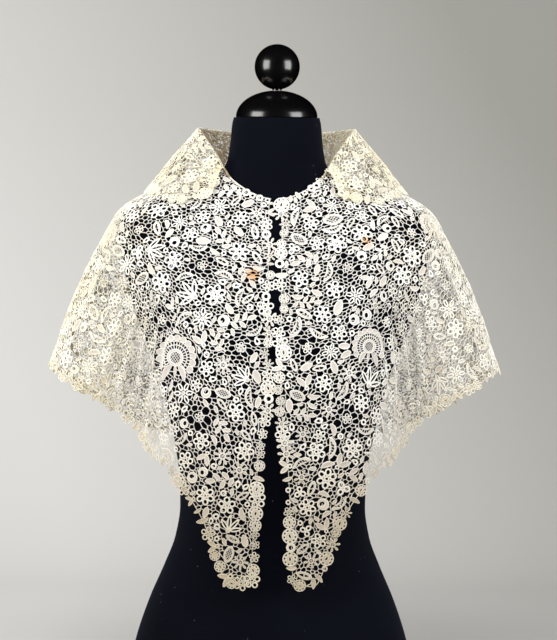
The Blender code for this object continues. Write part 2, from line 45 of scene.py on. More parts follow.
# Rings of the cape from the neckline down, as in the solids: how far down the cloth, how far out at the
# front, side and back, the heights there, how square the ring is, and the depth of the hanging fold
cape = {
    "columns": ("along", "front", "side", "back", "frontZ", "sideZ", "backZ", "squareness", "fold"),
    "rows": (
        (0.000, 0.0740, 0.0678, 0.0680, 0.5815, 0.6270, 0.6400, 2.50, 0.000),
        (0.038, 0.0880, 0.1030, 0.0820, 0.5530, 0.6110, 0.6150, 2.45, 0.000),
        (0.078, 0.1015, 0.1460, 0.0945, 0.5220, 0.5985, 0.5830, 2.35, 0.000),
        (0.128, 0.1155, 0.1940, 0.1060, 0.4800, 0.5710, 0.5400, 2.35, 0.000),
        (0.180, 0.1240, 0.2165, 0.1150, 0.4300, 0.5310, 0.4900, 2.30, 0.007),
        (0.248, 0.1260, 0.2445, 0.1205, 0.3620, 0.4695, 0.4280, 2.20, 0.027),
        (0.310, 0.1260, 0.2665, 0.1240, 0.2900, 0.4160, 0.3690, 2.10, 0.043),
        (0.372, 0.1250, 0.2850, 0.1256, 0.2170, 0.3640, 0.3100, 2.00, 0.050),
        (0.490, 0.1230, 0.3120, 0.1262, 0.0930, 0.2700, 0.1960, 2.00, 0.052),
    ),
    "foldAt": 42, "foldWidth": 12, "foldPush": (-0.35, 0.94),        # degrees; which way it goes in
    "backFoldAt": 131, "backFoldWidth": 13, "backFoldShare": 0.42, "backFoldPush": (-0.45, -0.89),
    "cutRadius": 0.147, "cutTurn": 0.487,                            # the cut, laid flat as arcs
}
# Height of the lower edge at each angle from the centre front
hem = {
    "columns": ("angle", "height"),
    "rows": (
        (5.0, 0.118), (9.5, 0.115), (13.0, 0.146), (16.0, 0.186), (19.5, 0.214), (23.5, 0.236),
        (28.0, 0.256), (33.0, 0.266), (38.0, 0.284), (44.0, 0.310), (52.0, 0.334), (62.0, 0.353),
        (76.0, 0.370), (90.0, 0.378), (110.0, 0.362), (135.0, 0.314), (160.0, 0.279), (180.0, 0.270),
    ),
}
# Distance of the front edges from the centre at each height
frontEdge = {
    "columns": ("height", "out"),
    "rows": (
        (0.100, 0.0240), (0.160, 0.0210), (0.220, 0.0182), (0.280, 0.0140), (0.310, 0.0090),
        (0.350, 0.0058), (0.600, 0.0056),
    ),
    "tapeEnd": 32,
}
# The collar by the angle from the centre back: the crest of its roll and its outer edge
collar = {
    "columns": ("angle", "rollX", "rollY", "rollZ", "edgeX", "edgeY", "edgeZ"),
    "rows": (
        (0, 0.0000, 0.0960, 0.6760, 0.0000, 0.1245, 0.5920),
        (35, 0.0570, 0.0850, 0.6770, 0.0860, 0.1090, 0.5940),
        (65, 0.0910, 0.0530, 0.6780, 0.1415, 0.0640, 0.5965),
        (88, 0.0985, 0.0170, 0.6755, 0.1625, 0.0105, 0.5970),
        (105, 0.0890, -0.0130, 0.6600, 0.1505, -0.0335, 0.5900),
        (117, 0.0755, -0.0320, 0.6400, 0.1210, -0.0605, 0.5790),
        (127, 0.0655, -0.0460, 0.6220, 0.0790, -0.0700, 0.5860),
    ),
    "end": 127, "depth": 0.145, "cutRadius": 0.105, "cutTurn": 0.68,
    "lift": 0.0011, "setOut": 0.0013, "crest": 0.35, "rollShare": 0.05, "rollRadius": 0.0050,
    "mostOfStand": 0.30, "hollow": 0.0010, "crown": 0.0015,
}


def columnsOf(table):
    return dict(zip(table["columns"], np.array(table["rows"], float).T))


capeAt, hemAt, edgeAt, collarAt = (columnsOf(t) for t in (cape, hem, frontEdge, collar))


def smoothAt(xs, ys, x, level=""):
    # a smooth curve that never overshoots its points and runs on straight past its ends; level names
    # the ends where it runs flat
    wanted = np.atleast_1d(x)
    x = np.clip(wanted, xs[0], xs[-1])
    ys = np.atleast_2d(ys)
    secants = np.diff(ys, axis=1) / np.diff(xs)
    slopes = np.concatenate((secants[:, :1], np.zeros_like(secants[:, 1:]), secants[:, -1:]), axis=1)
    before, after = secants[:, :-1], secants[:, 1:]
    agree = before * after > 0
    total = np.where(agree, before + after, 1.0)
    slopes[:, 1:-1] = np.where(agree, 2 * before * after / total, 0.0)
    if "low" in level:
        slopes[:, 0] = 0.0
    if "high" in level:
        slopes[:, -1] = 0.0
    i = np.clip(np.searchsorted(xs, x) - 1, 0, len(xs) - 2)
    row = np.arange(len(x)) if len(ys) > 1 else 0
    span = xs[i + 1] - xs[i]
    t = (x - xs[i]) / span
    beyond = (wanted - x) * np.where(wanted < x, slopes[row, 0], slopes[row, -1])
    return (
        beyond
        + (2 * t**3 - 3 * t**2 + 1) * ys[row, i]
        + (t**3 - 2 * t**2 + t) * span * slopes[row, i]
        + (3 * t**2 - 2 * t**3) * ys[row, i + 1]
        + (t**3 - t**2) * span * slopes[row, i + 1]
    )


def dent(turn, at, width):
    return np.exp(-(((turn - math.radians(at)) / math.radians(width)) ** 2))


def wrapped(angle):
    # the same direction, from half a turn before the front to half a turn after it
    return (angle + math.pi) % math.tau - math.pi


def capePoint(angle, along):
    # angle from the centre front, positive towards +X; it may run on past the centre back
    angle = wrapped(np.atleast_1d(angle))
    along = np.broadcast_to(along, angle.shape)
    ring = {name: smoothAt(capeAt["along"], capeAt[name], along) for name in cape["columns"][1:]}
    turn = np.abs(angle)
    forward, sideways = np.cos(turn), np.sin(turn)
    power = ring["squareness"]
    swell = (np.abs(forward) ** power + np.abs(sideways) ** power) ** (-1 / power)
    depth = np.where(forward > 0, ring["front"], ring["back"])
    height = np.where(forward > 0, ring["frontZ"], ring["backZ"])
    x, y = ring["side"] * sideways * swell, -depth * forward * swell
    z = ring["sideZ"] + (height - ring["sideZ"]) * forward**2
    push = ring["fold"] * dent(turn, cape["foldAt"], cape["foldWidth"])
    backPush = ring["fold"] * cape["backFoldShare"] * dent(turn, cape["backFoldAt"], cape["backFoldWidth"])
    x = x + cape["foldPush"][0] * push + cape["backFoldPush"][0] * backPush
    y = y + cape["foldPush"][1] * push + cape["backFoldPush"][1] * backPush
    return np.stack((np.copysign(x, angle), y, z), axis=-1)


def lengths(vectors):
    return np.linalg.norm(vectors, axis=-1)


def unit(vectors):
    return vectors / np.maximum(lengths(vectors)[..., None], 1e-9)


def collarPoint(angle, across):
    # angle from the centre back; across runs up the stand, over the roll and down the fall
    angle = np.atleast_1d(angle).astype(float)
    across = np.broadcast_to(across, angle.shape)
    turn = np.degrees(np.abs(angle))
    row = {
        name: smoothAt(collarAt["angle"], collarAt[name], turn, "" if name.endswith("X") else "low")
        for name in collar["columns"][1:]
    }
    level, up = np.array((1.0, 1.0, 0.0)), np.array((0.0, 0.0, 1.0))
    neckline = capePoint(math.pi - np.abs(angle), 0.0)
    seam = neckline + unit(neckline * level) * collar["setOut"] + up * collar["lift"]
    roll = np.stack((row["rollX"], row["rollY"], row["rollZ"]), axis=-1)
    edge = np.stack((row["edgeX"], row["edgeY"], row["edgeZ"]), axis=-1)
    out = unit((roll - seam) * level)
    radius = np.minimum(collar["rollRadius"], collar["mostOfStand"] * (roll - seam)[:, 2])[:, None]
    crest, share = collar["crest"], collar["rollShare"]
    stations = (
        (0.0, seam),
        (crest / 2, (seam + roll) / 2 - out * collar["hollow"]),
        (crest - share, roll - out * radius - up * radius),
        (crest, roll),
        (crest + share, roll + out * radius - up * radius),
        ((1 + crest) / 2, (roll + edge) / 2 + out * collar["crown"]),
        (1.0, edge),
    )
    shares = np.array([s for s, _ in stations])
    places = np.stack([p for _, p in stations], axis=-1)
    found = [smoothAt(shares, places[:, axis], across / collar["depth"]) for axis in range(3)]
    found[0] = found[0] * np.copysign(1.0, angle)
    return np.stack(found, axis=-1)


# Small creases that the solids leave out: angle, drift in degrees down the crease, where it
# starts and ends down the cloth, its width and its height in mm; a ridge is positive, a trough negative
creases = {
    "front": (
        (31.0, 2.0, 0.210, 0.320, 4.4, 4.2), (33.6, 1.0, 0.190, 0.345, 3.6, -2.0),
        (36.0, -1.0, 0.205, 0.330, 3.4, 5.6), (38.4, 0.5, 0.180, 0.350, 3.0, -2.4),
        (40.6, 1.0, 0.215, 0.335, 3.2, 6.0), (43.0, -1.0, 0.195, 0.340, 3.4, -2.0),
        (45.4, 1.5, 0.205, 0.330, 3.0, 5.4), (48.2, 0.5, 0.220, 0.345, 4.0, -1.8),
        (51.0, 2.0, 0.225, 0.320, 4.6, 4.4), (61.0, 5.0, 0.150, 0.290, 12.0, 3.2),
        (72.0, -4.0, 0.170, 0.310, 14.0, -2.8), (83.0, 3.0, 0.160, 0.320, 11.0, 3.0),
        (14.0, 3.0, 0.260, 0.420, 13.0, 2.4), (24.0, -3.0, 0.190, 0.330, 12.0, -2.0),
    ),
    "back": (
        (98.0, 4.0, 0.150, 0.300, 12.0, 3.0), (109.0, -3.0, 0.180, 0.310, 11.0, -2.6),
        (121.0, 2.0, 0.200, 0.330, 6.0, 2.8), (127.0, 1.0, 0.210, 0.330, 5.0, -2.0),
        (133.0, -1.0, 0.200, 0.340, 5.0, 3.0), (140.0, 2.0, 0.190, 0.340, 7.0, -2.0),
        (153.0, 4.0, 0.150, 0.370, 16.0, 3.2), (168.0, -3.0, 0.190, 0.350, 17.0, -2.4),
    ),
    "collar": (
        (24.0, 3.0, 0.072, 0.140, 12.0, 1.6), (52.0, -4.0, 0.078, 0.140, 11.0, -1.2),
        (79.0, 3.0, 0.075, 0.142, 10.0, 1.8), (98.0, -2.0, 0.080, 0.140, 9.0, -1.3),
    ),
    "reach": 0.160, "fade": 0.8,                 # how far out the widths are meant, and how the ends fade
}


# Where the cloth is drawn together: angle, width in degrees, from and to how far down, and how much more
gathers = {
    "front": ((41.0, 9.5, 0.170, 0.370, 1.3),),
    "back": ((131.0, 10.0, 0.180, 0.350, 0.8),), "fade": 0.5,
}


def fade(along, start, stop, power):
    # from nothing at the start to most in the middle and nothing at the stop
    return np.sin(math.pi * np.clip((along - start) / (stop - start), 0.0, 1.0)) ** power


def creaseHeight(kind, turn, along):
    # height of the small creases here; turn is the unsigned angle
    total = np.zeros_like(turn)
    for at, drift, start, stop, width, height in creases[kind]:
        middle = math.radians(at) + math.radians(drift) * (along - start) / (stop - start)
        aside = (turn - middle) * creases["reach"] / (width * mm)
        total += height * mm * np.exp(-(aside**2)) * fade(along, start, stop, creases["fade"])
    return total


class Panel:
    # one cut piece of lace: its curved form, and its cut laid flat for planning
    def __init__(self, kind, side=1):
        self.kind, self.side = kind, side
        table = collar if kind == "collar" else cape
        self.cutRadius, self.cutTurn = table["cutRadius"], table["cutTurn"]
        self.middle = math.pi if kind == "back" else 0.0

    def bare(self, angle, along):
        return collarPoint(angle, along) if self.kind == "collar" else capePoint(angle, along)

    def frameAt(self, angle, along):
        # the middle of the lace, the two ways along it for a unit of angle and along, and the face side
        small = 2e-4
        here = self.bare(angle, along)
        around = (self.bare(angle + small, along) - here) / small
        down = (self.bare(angle, along + small) - here) / small
        face = unit(np.cross(around, down) if self.kind == "collar" else np.cross(down, around))
        return here, around, down, face

    def surface(self, angle, along):
        here, _, _, face = self.frameAt(angle, along)
        return here + face * creaseHeight(self.kind, np.abs(wrapped(angle)), along)[:, None], face

    def spots(self, angle, along, gathered=False):
        # for each place, the plain map from real lengths (x aside, y down) to steps of (angle, along)
        _, around, down, _ = self.frameAt(angle, along)
        downWay = unit(down)
        skew = (around * downWay).sum(-1)
        reach, length = lengths(around - skew[:, None] * downWay), lengths(down)
        if gathered:
            reach = reach * self.gather(angle, along)
        none = np.zeros_like(reach)
        return np.stack((1 / reach, none, -skew / reach / length, 1 / length), axis=1).reshape(-1, 2, 2)

    def gather(self, angle, along):
        # how much cloth the small creases take up across their folds
        more = np.ones_like(angle)
        turn = np.degrees(np.abs(wrapped(angle)))
        for at, width, start, stop, amount in gathers.get(self.kind, ()):
            fold = np.exp(-(((turn - at) / width) ** 2))
            more = more + amount * fold * fade(along, start, stop, gathers["fade"])
        return more

    def flat(self, angle, along):
        radius, turn = self.cutRadius + along, self.cutTurn * (angle - self.middle)
        return np.stack((radius * np.sin(turn), -radius * np.cos(turn)), axis=-1)

    def fromFlat(self, place):
        radius = np.hypot(place[..., 0], place[..., 1])
        turn = np.arctan2(place[..., 0], -place[..., 1]) / self.cutTurn
        return turn + self.middle, radius - self.cutRadius


# The shoulder line, the seam's gap, how hem heights are found, and how many samples each edge has
shoulder = math.pi / 2
edging = {"seamGap": 1.6 * mm, "pastHem": 0.03, "halvings": 34, "centre": 60, "frontHem": 90, "seam": 30,
          "frontNeck": 12, "backHem": 160, "backNeck": 40, "collarHem": 120, "collarEnd": 20}


def alongAtHeight(angle, height):
    # how far down the cape a height lies
    low, high = np.zeros_like(angle), np.full_like(angle, cape["rows"][-1][0] + edging["pastHem"])
    for _ in range(edging["halvings"]):
        middle = (low + high) / 2
        above = capePoint(angle, middle)[:, 2] > height
        low, high = np.where(above, middle, low), np.where(above, high, middle)
    return low


def hemAlong(angle):
    turn = np.abs(wrapped(angle))
    return alongAtHeight(turn, smoothAt(hemAt["angle"], hemAt["height"], np.degrees(turn), "high"))


def edgeAngle(along):
    out = smoothAt(edgeAt["height"], edgeAt["out"], capePoint(np.zeros_like(along), along)[:, 2])
    return np.arcsin(out / smoothAt(capeAt["along"], capeAt["side"], along))


def travelled(steps):
    # how far along a line each of its points lies, from the lengths of its steps
    return np.concatenate(([0.0], np.cumsum(steps)))


def spreadEvenly(panel, path, step):
    # the path of (angle, along) rows, read again at even steps on the cloth
    run = travelled(lengths(np.diff(panel.bare(*path.T), axis=0)))
    at = np.linspace(0.0, run[-1], max(1, round(run[-1] / step)) + 1)
    return np.stack((np.interp(at, run, path[:, 0]), np.interp(at, run, path[:, 1])), axis=1)


def seamAngle(panel, along, sign):
    # half the seam's gap to the front or the back of the shoulder line, on the wearer's left
    around = lengths(panel.frameAt(np.full_like(along, shoulder), along)[1])
    return shoulder - sign * edging["seamGap"] / 2 / around


def pathOf(angle, along):
    # an edge as rows of (angle, along), where either may be one value for all
    return np.stack(np.broadcast_arrays(angle, along), axis=1)


def frontEdges(panel):
    tip = math.radians(hem["rows"][0][0])
    foot = hemAlong(np.array((shoulder,)))[0]
    down = np.linspace(0.0, hemAlong(np.array((tip,)))[0], edging["centre"])
    out = np.linspace(tip, seamAngle(panel, np.array((foot,)), 1)[0], edging["frontHem"])
    up = np.linspace(foot, 0.0, edging["seam"])
    centre, seam = pathOf(edgeAngle(down), down), pathOf(seamAngle(panel, up, 1), up)
    # the right front's neckline has a plain tape, down to where the small rings start
    turns = (seam[-1, 0], math.radians(frontEdge["tapeEnd"]), centre[0, 0])
    outer, inner = (pathOf(np.linspace(*ends, edging["frontNeck"]), 0.0) for ends in zip(turns, turns[1:]))
    edges = [("centre", centre), ("hem", pathOf(out, hemAlong(out))), ("seam", seam),
             ("neck" if panel.side > 0 else "tape", outer), ("neck", inner)]
    if panel.side < 0:
        edges = [(kind, path[::-1] * (-1, 1)) for kind, path in reversed(edges)]
    return edges


def backEdges(panel):
    down = np.linspace(0.0, hemAlong(np.array((shoulder,)))[0], edging["seam"])
    left = pathOf(seamAngle(panel, down, -1), down)
    right = left[::-1] * (-1, 1) + (math.tau, 0)
    out = np.linspace(left[-1, 0], right[0, 0], edging["backHem"])
    neck = np.linspace(right[-1, 0], left[0, 0], edging["backNeck"])
    return [("seam", left), ("hem", pathOf(out, hemAlong(out))), ("seam", right),
            ("seam", pathOf(neck, 0.0))]


def collarEdges():
    end, depth = math.radians(collar["end"]), collar["depth"]
    out = np.linspace(-end, end, edging["collarHem"])
    down = np.linspace(0.0, depth, edging["collarEnd"])
    return [("end", pathOf(-end, down)), ("hem", pathOf(out, depth)), ("end", pathOf(end, down[::-1])),
            ("seam", pathOf(out[::-1], 0.0))]


def panelEdges(panel):
    # edges as (angle, along) paths, the cloth to the left of each where down the cloth is up the page
    if panel.kind == "collar":
        return collarEdges()
    return frontEdges(panel) if panel.kind == "front" else backEdges(panel)


# A stock of plain shapes, made flat: points (x, y, height), a tone for each point, and triangles
def shapeOf(points, tones, faces):
    return {"points": np.asarray(points, float), "tones": np.asarray(tones, float),
            "faces": np.asarray(faces, int)}


def together(shapes):
    counts = np.cumsum([0] + [len(s["points"]) for s in shapes[:-1]])
    return shapeOf(np.concatenate([s["points"] for s in shapes]),
                   np.concatenate([s["tones"] for s in shapes]),
                   np.concatenate([s["faces"] + n for s, n in zip(shapes, counts)]))


def between(a, b, count):
    # triangles between two rings of points that start at a and b
    i = np.arange(count)
    j = (i + 1) % count
    return np.concatenate((np.stack((a + i, a + j, b + j), 1), np.stack((a + i, b + j, b + i), 1)))


def fan(middle, ring, count, turn=1):
    # triangles from a middle point to a ring
    i = np.arange(count)
    j = (i + 1) % count
    return np.stack((np.full(count, middle), ring + i, ring + j)[::turn], 1)


def raised(outline, height):
    return np.column_stack((outline, np.full(len(outline), height)))


def polar(turn, reach):
    return np.array((math.cos(turn), math.sin(turn))) * reach


def turnedTo(x, y, at, turn):
    c, s = math.cos(turn), math.sin(turn)
    return np.stack((at[0] + x * c - y * s, at[1] + x * s + y * c), axis=1)


def drawnIn(outline, distance, most=0.6):
    # the outline moved towards its middle; most is the largest share of the way
    middle = outline.mean(axis=0)
    reach = lengths(outline - middle)[:, None]
    return outline + (middle - outline) * np.minimum(distance / reach, most)


def ellipse(count, width, length, at=(0.0, 0.0), turn=0.0):
    t = np.arange(count) / count * math.tau
    return turnedTo(width / 2 * np.cos(t), length / 2 * np.sin(t), at, turn)


def disc(count, width, at=(0.0, 0.0)):
    return ellipse(count, width, width, at)


def leafLine(count, width, length, at=(0.0, 0.0), turn=0.0, bend=0.0, fullness=0.12):
    # a leaf along y before it is turned
    t = (np.arange(count) + 0.5 * (count % 4 != 0)) / count * math.tau
    y = -length / 2 * np.cos(t)
    x = width / 2 * np.sin(t) * (0.72 + 0.28 * np.abs(np.sin(t))) * (1 + fullness * np.cos(t))
    x = x + bend * (1 - (2 * y / length) ** 2)
    return turnedTo(x, y, at, turn)


def solidPiece(outline, rim=1.0 * mm, crest=0.80 * mm, level=0.30 * mm):
    # worked solid, with a corded rim round a lower middle
    count = len(outline)
    middle = outline.mean(axis=0)
    inner = drawnIn(outline, rim * 1.5)
    points = np.concatenate((
        raised(middle[None], -level), raised(inner, -level * 1.2), raised(outline, 0.0),
        raised(drawnIn(outline, rim * 0.55), crest), raised(inner, level), raised(middle[None], level * 1.5),
    ))
    tones = np.concatenate(([0.2], np.full(count, 0.5), np.full(2 * count, 1.0), np.full(count, 0.2), [0.1]))
    faces = [fan(0, 1, count, -1)] + [between(1 + k * count, 1 + (k + 1) * count, count) for k in range(3)]
    faces.append(fan(1 + 4 * count, 1 + 3 * count, count))
    return shapeOf(points, tones, np.concatenate(faces))


# Cross-sections of a band of thread from its outer edge to its inner one: share, height, tone
bands = {
    "cord": ((0.0, 0.0, 1.0), (0.45, 1.0, 1.0), (1.0, 0.0, 0.9), (0.5, -0.7, 0.6)),
    "wide": ((0.0, 0.0, 1.0), (0.16, 1.0, 1.0), (0.40, 0.4, 0.25), (0.68, 0.4, 0.25), (0.88, 0.9, 1.0),
             (1.0, 0.0, 1.0), (0.5, -0.6, 0.5)),
}


def band(outer, inner, crest=0.7 * mm, section="cord"):
    # a ring of thread between two outlines
    count, places = len(outer), bands[section]
    rings = [raised(outer + (inner - outer) * share, height * crest) for share, height, _ in places]
    tones = np.repeat([tone for _, _, tone in places], count)
    faces = [between(k * count, (k + 1) % len(places) * count, count) for k in range(len(places))]
    return shapeOf(np.concatenate(rings), tones, np.concatenate(faces))


prism = np.array(((0, 1, 4), (0, 4, 3), (1, 2, 5), (1, 5, 4), (2, 0, 3), (2, 3, 5), (0, 2, 1), (3, 4, 5)))


def bar(start, stop, width=1.0 * mm, height=0.42 * mm):
    # one three-sided thread
    start, stop = np.asarray(start, float), np.asarray(stop, float)
    way = (stop - start) / max(np.linalg.norm(stop - start), 1e-9)
    aside = np.array((-way[1], way[0])) * width / 2
    points = []
    for end in (start, stop):
        points += [(*(end + aside), -height * 0.5), (*(end - aside), -height * 0.5), (*end, height)]
    return shapeOf(points, [0.85] * 6, prism)


def netDisc(width, length, pitch=2.5 * mm, thread=0.66 * mm, lean=math.radians(40)):
    # crossed threads inside an oval
    made = []
    for k in np.arange(-6, 7):
        for way in (polar(math.pi / 2 + lean, 1.0), polar(math.pi / 2 - lean, 1.0)):
            across = np.array((way[1], -way[0])) * k * pitch
            a = (way[0] / (width / 2)) ** 2 + (way[1] / (length / 2)) ** 2
            b = 2 * (way[0] * across[0] / (width / 2) ** 2 + way[1] * across[1] / (length / 2) ** 2)
            c = (across[0] / (width / 2)) ** 2 + (across[1] / (length / 2)) ** 2 - 1
            if b * b > 4 * a * c:
                root = math.sqrt(b * b - 4 * a * c)
                ends = [across - way * (b + sign * root) / (2 * a) for sign in (1, -1)]
                made.append(bar(*ends, thread))
    return made


# Motifs. Each gives its shapes and the outlines that keep the net out. Numbers without mm are counts,
# degrees or shares of the motif's own size
def turnsOf(count, first=0.0):
    return [first + k * math.tau / count for k in range(count)]


def loops(petals, corners, reach, outer, inner, innerReach=None, first=0.0):
    # a ring of looped petals: how far out they lie, and their outer and inner length and width
    shapes, outlines = [], []
    for turn in turnsOf(petals, first):
        outlines.append(ellipse(corners, *outer, polar(turn, reach), turn))
        shapes.append(band(outlines[-1], ellipse(corners, *inner, polar(turn, innerReach or reach), turn)))
    return shapes, outlines


def forgetMeNot(petals=5, reach=11.4 * mm):
    # looped petals round a ringed heart
    petal = reach * (0.76 if petals == 5 else 0.66)
    outer, inner = (reach * 0.75, petal), (reach * 0.42, petal * 0.50)
    shapes, outlines = loops(petals, 11, reach * 0.625, outer, inner)
    heart = disc(10, reach * 0.54)
    return shapes + [band(heart, disc(10, reach * 0.24), 1.0 * mm)], outlines + [heart]


def loopFlower(petals=6, reach=12.5 * mm):
    # long looped petals, open in the middle, round a knot
    length, width = reach * 0.78, reach * 2.7 / petals
    inner = (length * 0.60, width * 0.42)
    shapes, outlines = loops(petals, 12, reach - length / 2, (length, width), inner, reach - length * 0.46)
    shapes.append(solidPiece(disc(8, reach * 0.42), 0.8 * mm, 1.1 * mm, 0.6 * mm))
    return shapes, outlines + [disc(8, reach * 0.5)]


def trefoil(reach=8.6 * mm):
    outer, inner = (reach * 0.98, reach * 0.9), (reach * 0.46, reach * 0.38)
    return loops(3, 12, reach * 0.52, outer, inner, first=math.pi / 2)


def daisy(petals=8, reach=10.5 * mm):
    # long solid petals round a barred heart
    heart, outlines = reach * 0.36, []
    length, width = reach - heart * 0.9, reach * 2.3 / petals
    for turn in turnsOf(petals):
        at = polar(turn, heart * 0.9 + length / 2)
        outlines.append(leafLine(8, width, length, at, turn - math.pi / 2, 0.0, -0.3))
    shapes = [solidPiece(outline, 0.8 * mm) for outline in outlines]
    shapes.append(band(disc(12, heart * 2.2), disc(12, heart * 1.3), 0.9 * mm))
    for turn in (0.3, 1.35, 2.4):
        shapes.append(bar(polar(turn, heart * 0.75), polar(turn + math.pi, heart * 0.75), 0.6 * mm))
    return shapes, outlines + [disc(12, heart * 2.5)]


def eyeRing(reach=6.8 * mm):
    outer = ellipse(16, reach * 2, reach * 1.9)
    inner = ellipse(16, reach * 0.72, reach * 0.86, (reach * 0.18, reach * 0.1))
    return [band(outer, inner, section="wide")], [outer]


def medallion(width=13.5 * mm, length=23 * mm):
    outer = leafLine(16, width, length, fullness=0.02)
    inner = leafLine(16, width * 0.6, length * 0.72, fullness=0.02)
    return [band(outer, inner, section="wide")] + netDisc(width * 0.6, length * 0.68), [outer]


def leaf(width=8.6 * mm, length=16 * mm, bend=0.0):
    outline = leafLine(12, width, length, bend=bend)
    return [solidPiece(outline)], [outline]


def smallLeaf(length=9.5 * mm):
    outline = leafLine(8, length * 0.52, length)
    return [solidPiece(outline, 0.8 * mm)], [outline]


def slitLeaf(width=8.6 * mm, length=19 * mm, bend=0.0, bars=1):
    # a corded leaf with a long opening, crossed by threads
    outer = leafLine(14, width, length, bend=bend)
    inner = leafLine(14, width * 0.40, length * 0.62, bend=bend)
    shapes = [band(outer, inner, section="wide")]
    for share in (np.arange(bars) + 0.5) / bars - 0.5:
        y = share * length * 0.5
        x = bend * (1 - (2 * y / length) ** 2)
        shapes.append(bar((x - width * 0.22, y - 0.6 * mm), (x + width * 0.22, y + 0.6 * mm), 0.8 * mm))
    return shapes, [outer]


def leafPair(length=15 * mm):
    # two leaves in a V from a ringed foot
    outlines, foot = [], (0.0, -length * 0.42)
    for turn in (-math.radians(33), math.radians(33)):
        at = (-math.sin(turn) * length * 0.55, math.cos(turn) * length * 0.55 - length * 0.3)
        outlines.append(leafLine(12, length * 0.48, length, at, turn))
    shapes = [solidPiece(outline) for outline in outlines]
    outlines.append(disc(10, 5.6 * mm, foot))
    return shapes + [band(outlines[-1], disc(10, 2.2 * mm, foot))], outlines


def fanSpray(leaves=4, length=20 * mm):
    # long slit leaves that spread from one foot
    shapes, outlines = [], []
    for k in range(leaves):
        turn = math.radians(-57 + 114 * k / (leaves - 1))
        size = length * (1.0 if 0 < k < leaves - 1 else 0.84)
        at = np.array((-math.sin(turn), math.cos(turn))) * (size * 0.5 + 1.5 * mm) - (0.0, length * 0.45)
        outlines.append(leafLine(14, 6.4 * mm, size, at, turn))
        shapes.append(band(outlines[-1], leafLine(14, 2.3 * mm, size * 0.66, at, turn)))
    outlines.append(disc(10, 6.0 * mm, (0.0, -length * 0.47)))
    return shapes + [solidPiece(outlines[-1])], outlines


def spray(leaves=5, length=29 * mm):
    # leaves to either side of a curved stem, and one at its tip
    stem = [np.array((2.6 * mm * math.sin(t * 2.4), (t - 0.5) * length * 0.8)) for t in np.linspace(0, 1, 6)]
    shapes = [bar(a, b, 1.3 * mm, 0.6 * mm) for a, b in zip(stem, stem[1:])]
    outlines = []
    for k in range(leaves):
        last = k == leaves - 1
        turn = math.radians(0 if last else (54 if k % 2 else -54))
        size = length * (0.40 if last else 0.35)
        ahead = np.array((-math.sin(turn), math.cos(turn)))
        middle = stem[round((k + 1) / leaves * 5)] + ahead * size * 0.55
        outlines.append(leafLine(10, size * 0.54, size, middle, turn))
        shapes.append(solidPiece(outlines[-1], 0.9 * mm))
    return shapes, outlines


def bud(length=10 * mm):
    outer = leafLine(10, length * 0.66, length, fullness=0.35)
    return [band(outer, leafLine(10, length * 0.28, length * 0.46, fullness=0.3))], [outer]


def smallRing(reach=3.7 * mm):
    outer = disc(10, reach * 2)
    return [band(outer, disc(10, reach * 0.9))], [outer]


def pinDisc(reach=7.6 * mm, pins=9):
    # a border disc: a rim, a ring of pinholes, and a heart with a slot
    hub, rim = reach * 0.62, reach * 0.82
    outer, slot = disc(18, reach * 2), ellipse(12, reach * 0.5, reach * 0.24)
    shapes = [band(outer, disc(18, rim * 2), 0.85 * mm), band(disc(12, hub * 2), slot, 0.85 * mm, "wide")]
    for turn in turnsOf(pins):
        shapes.append(bar(polar(turn, hub * 0.93), polar(turn, rim * 1.05), 2.2 * mm, 0.45 * mm))
    return shapes, [outer]


# A large half-round flower head: netted heart, its plate, two rows of small holes (from, to, how many),
# a petalled rim, and leaves in its opening (angle, length, width)
headSizes = {
    "heart": 7.2 * mm, "plate": 10.8 * mm, "rows": ((10.5, 15.2, 19), (15.9, 19.9, 23)),
    "petalsFrom": 19.8 * mm, "reach": 28.5 * mm, "petals": 13, "opensFrom": 42, "opensTo": 138,
    "leaves": ((64, 23, 7.0), (92, 14, 4.6), (118, 21, 7.6)),
}


def flowerHead():
    heart, plate, start, reach = (headSizes[name] for name in ("heart", "plate", "petalsFrom", "reach"))
    first, last = math.radians(headSizes["opensTo"] - 360), math.radians(headSizes["opensFrom"])
    shapes = netDisc(heart * 2, heart * 2, 2.7 * mm, 0.8 * mm)
    shapes.append(band(disc(22, plate * 2), disc(22, heart * 1.9), 1.1 * mm, "wide"))
    for low, high, count in headSizes["rows"]:
        turns = np.linspace(first, last, count)
        shapes += [bar(polar(t, low * mm), polar(t, high * mm), 1.3 * mm, 0.5 * mm) for t in turns]
        line = [polar(t, (high + 0.3) * mm) for t in turns]
        shapes += [bar(a, b, 1.5 * mm, 0.7 * mm) for a, b in zip(line, line[1:])]
    span = (last - first) / headSizes["petals"]
    for k in range(headSizes["petals"]):
        turn = first + span * (k + 0.5)
        at = polar(turn, (start + reach) / 2)
        petal = ellipse(10, reach - start, span * (start + reach) * 0.56, at, turn)
        shapes.append(solidPiece(petal, 0.8 * mm))
    arc = [polar(t, reach) for t in np.linspace(first, last, 24)]
    outlines = [np.array(arc + [polar(last, start / 2), polar(first, start / 2)]), disc(20, plate * 2)]
    for degrees, length, width in headSizes["leaves"]:
        turn = math.radians(degrees)
        at = polar(turn, plate - 1.5 * mm + length * mm / 2)
        bend = (degrees - 92) * -0.09 * mm
        outlines.append(leafLine(12, width * mm, length * mm, at, turn - math.pi / 2, bend))
        shapes.append(solidPiece(outlines[-1]))
    return shapes, outlines


def withinLine(outline, grid):
    # which places of the grid lie within a closed line
    found = np.zeros(len(grid), bool)
    for a, b in zip(outline, np.roll(outline, -1, axis=0)):
        crosses = (a[1] > grid[:, 1]) != (b[1] > grid[:, 1])
        rise = b[1] - a[1] if b[1] != a[1] else 1.0
        found ^= crosses & (grid[:, 0] < a[0] + (grid[:, 1] - a[1]) * (b[0] - a[0]) / rise)
    return found


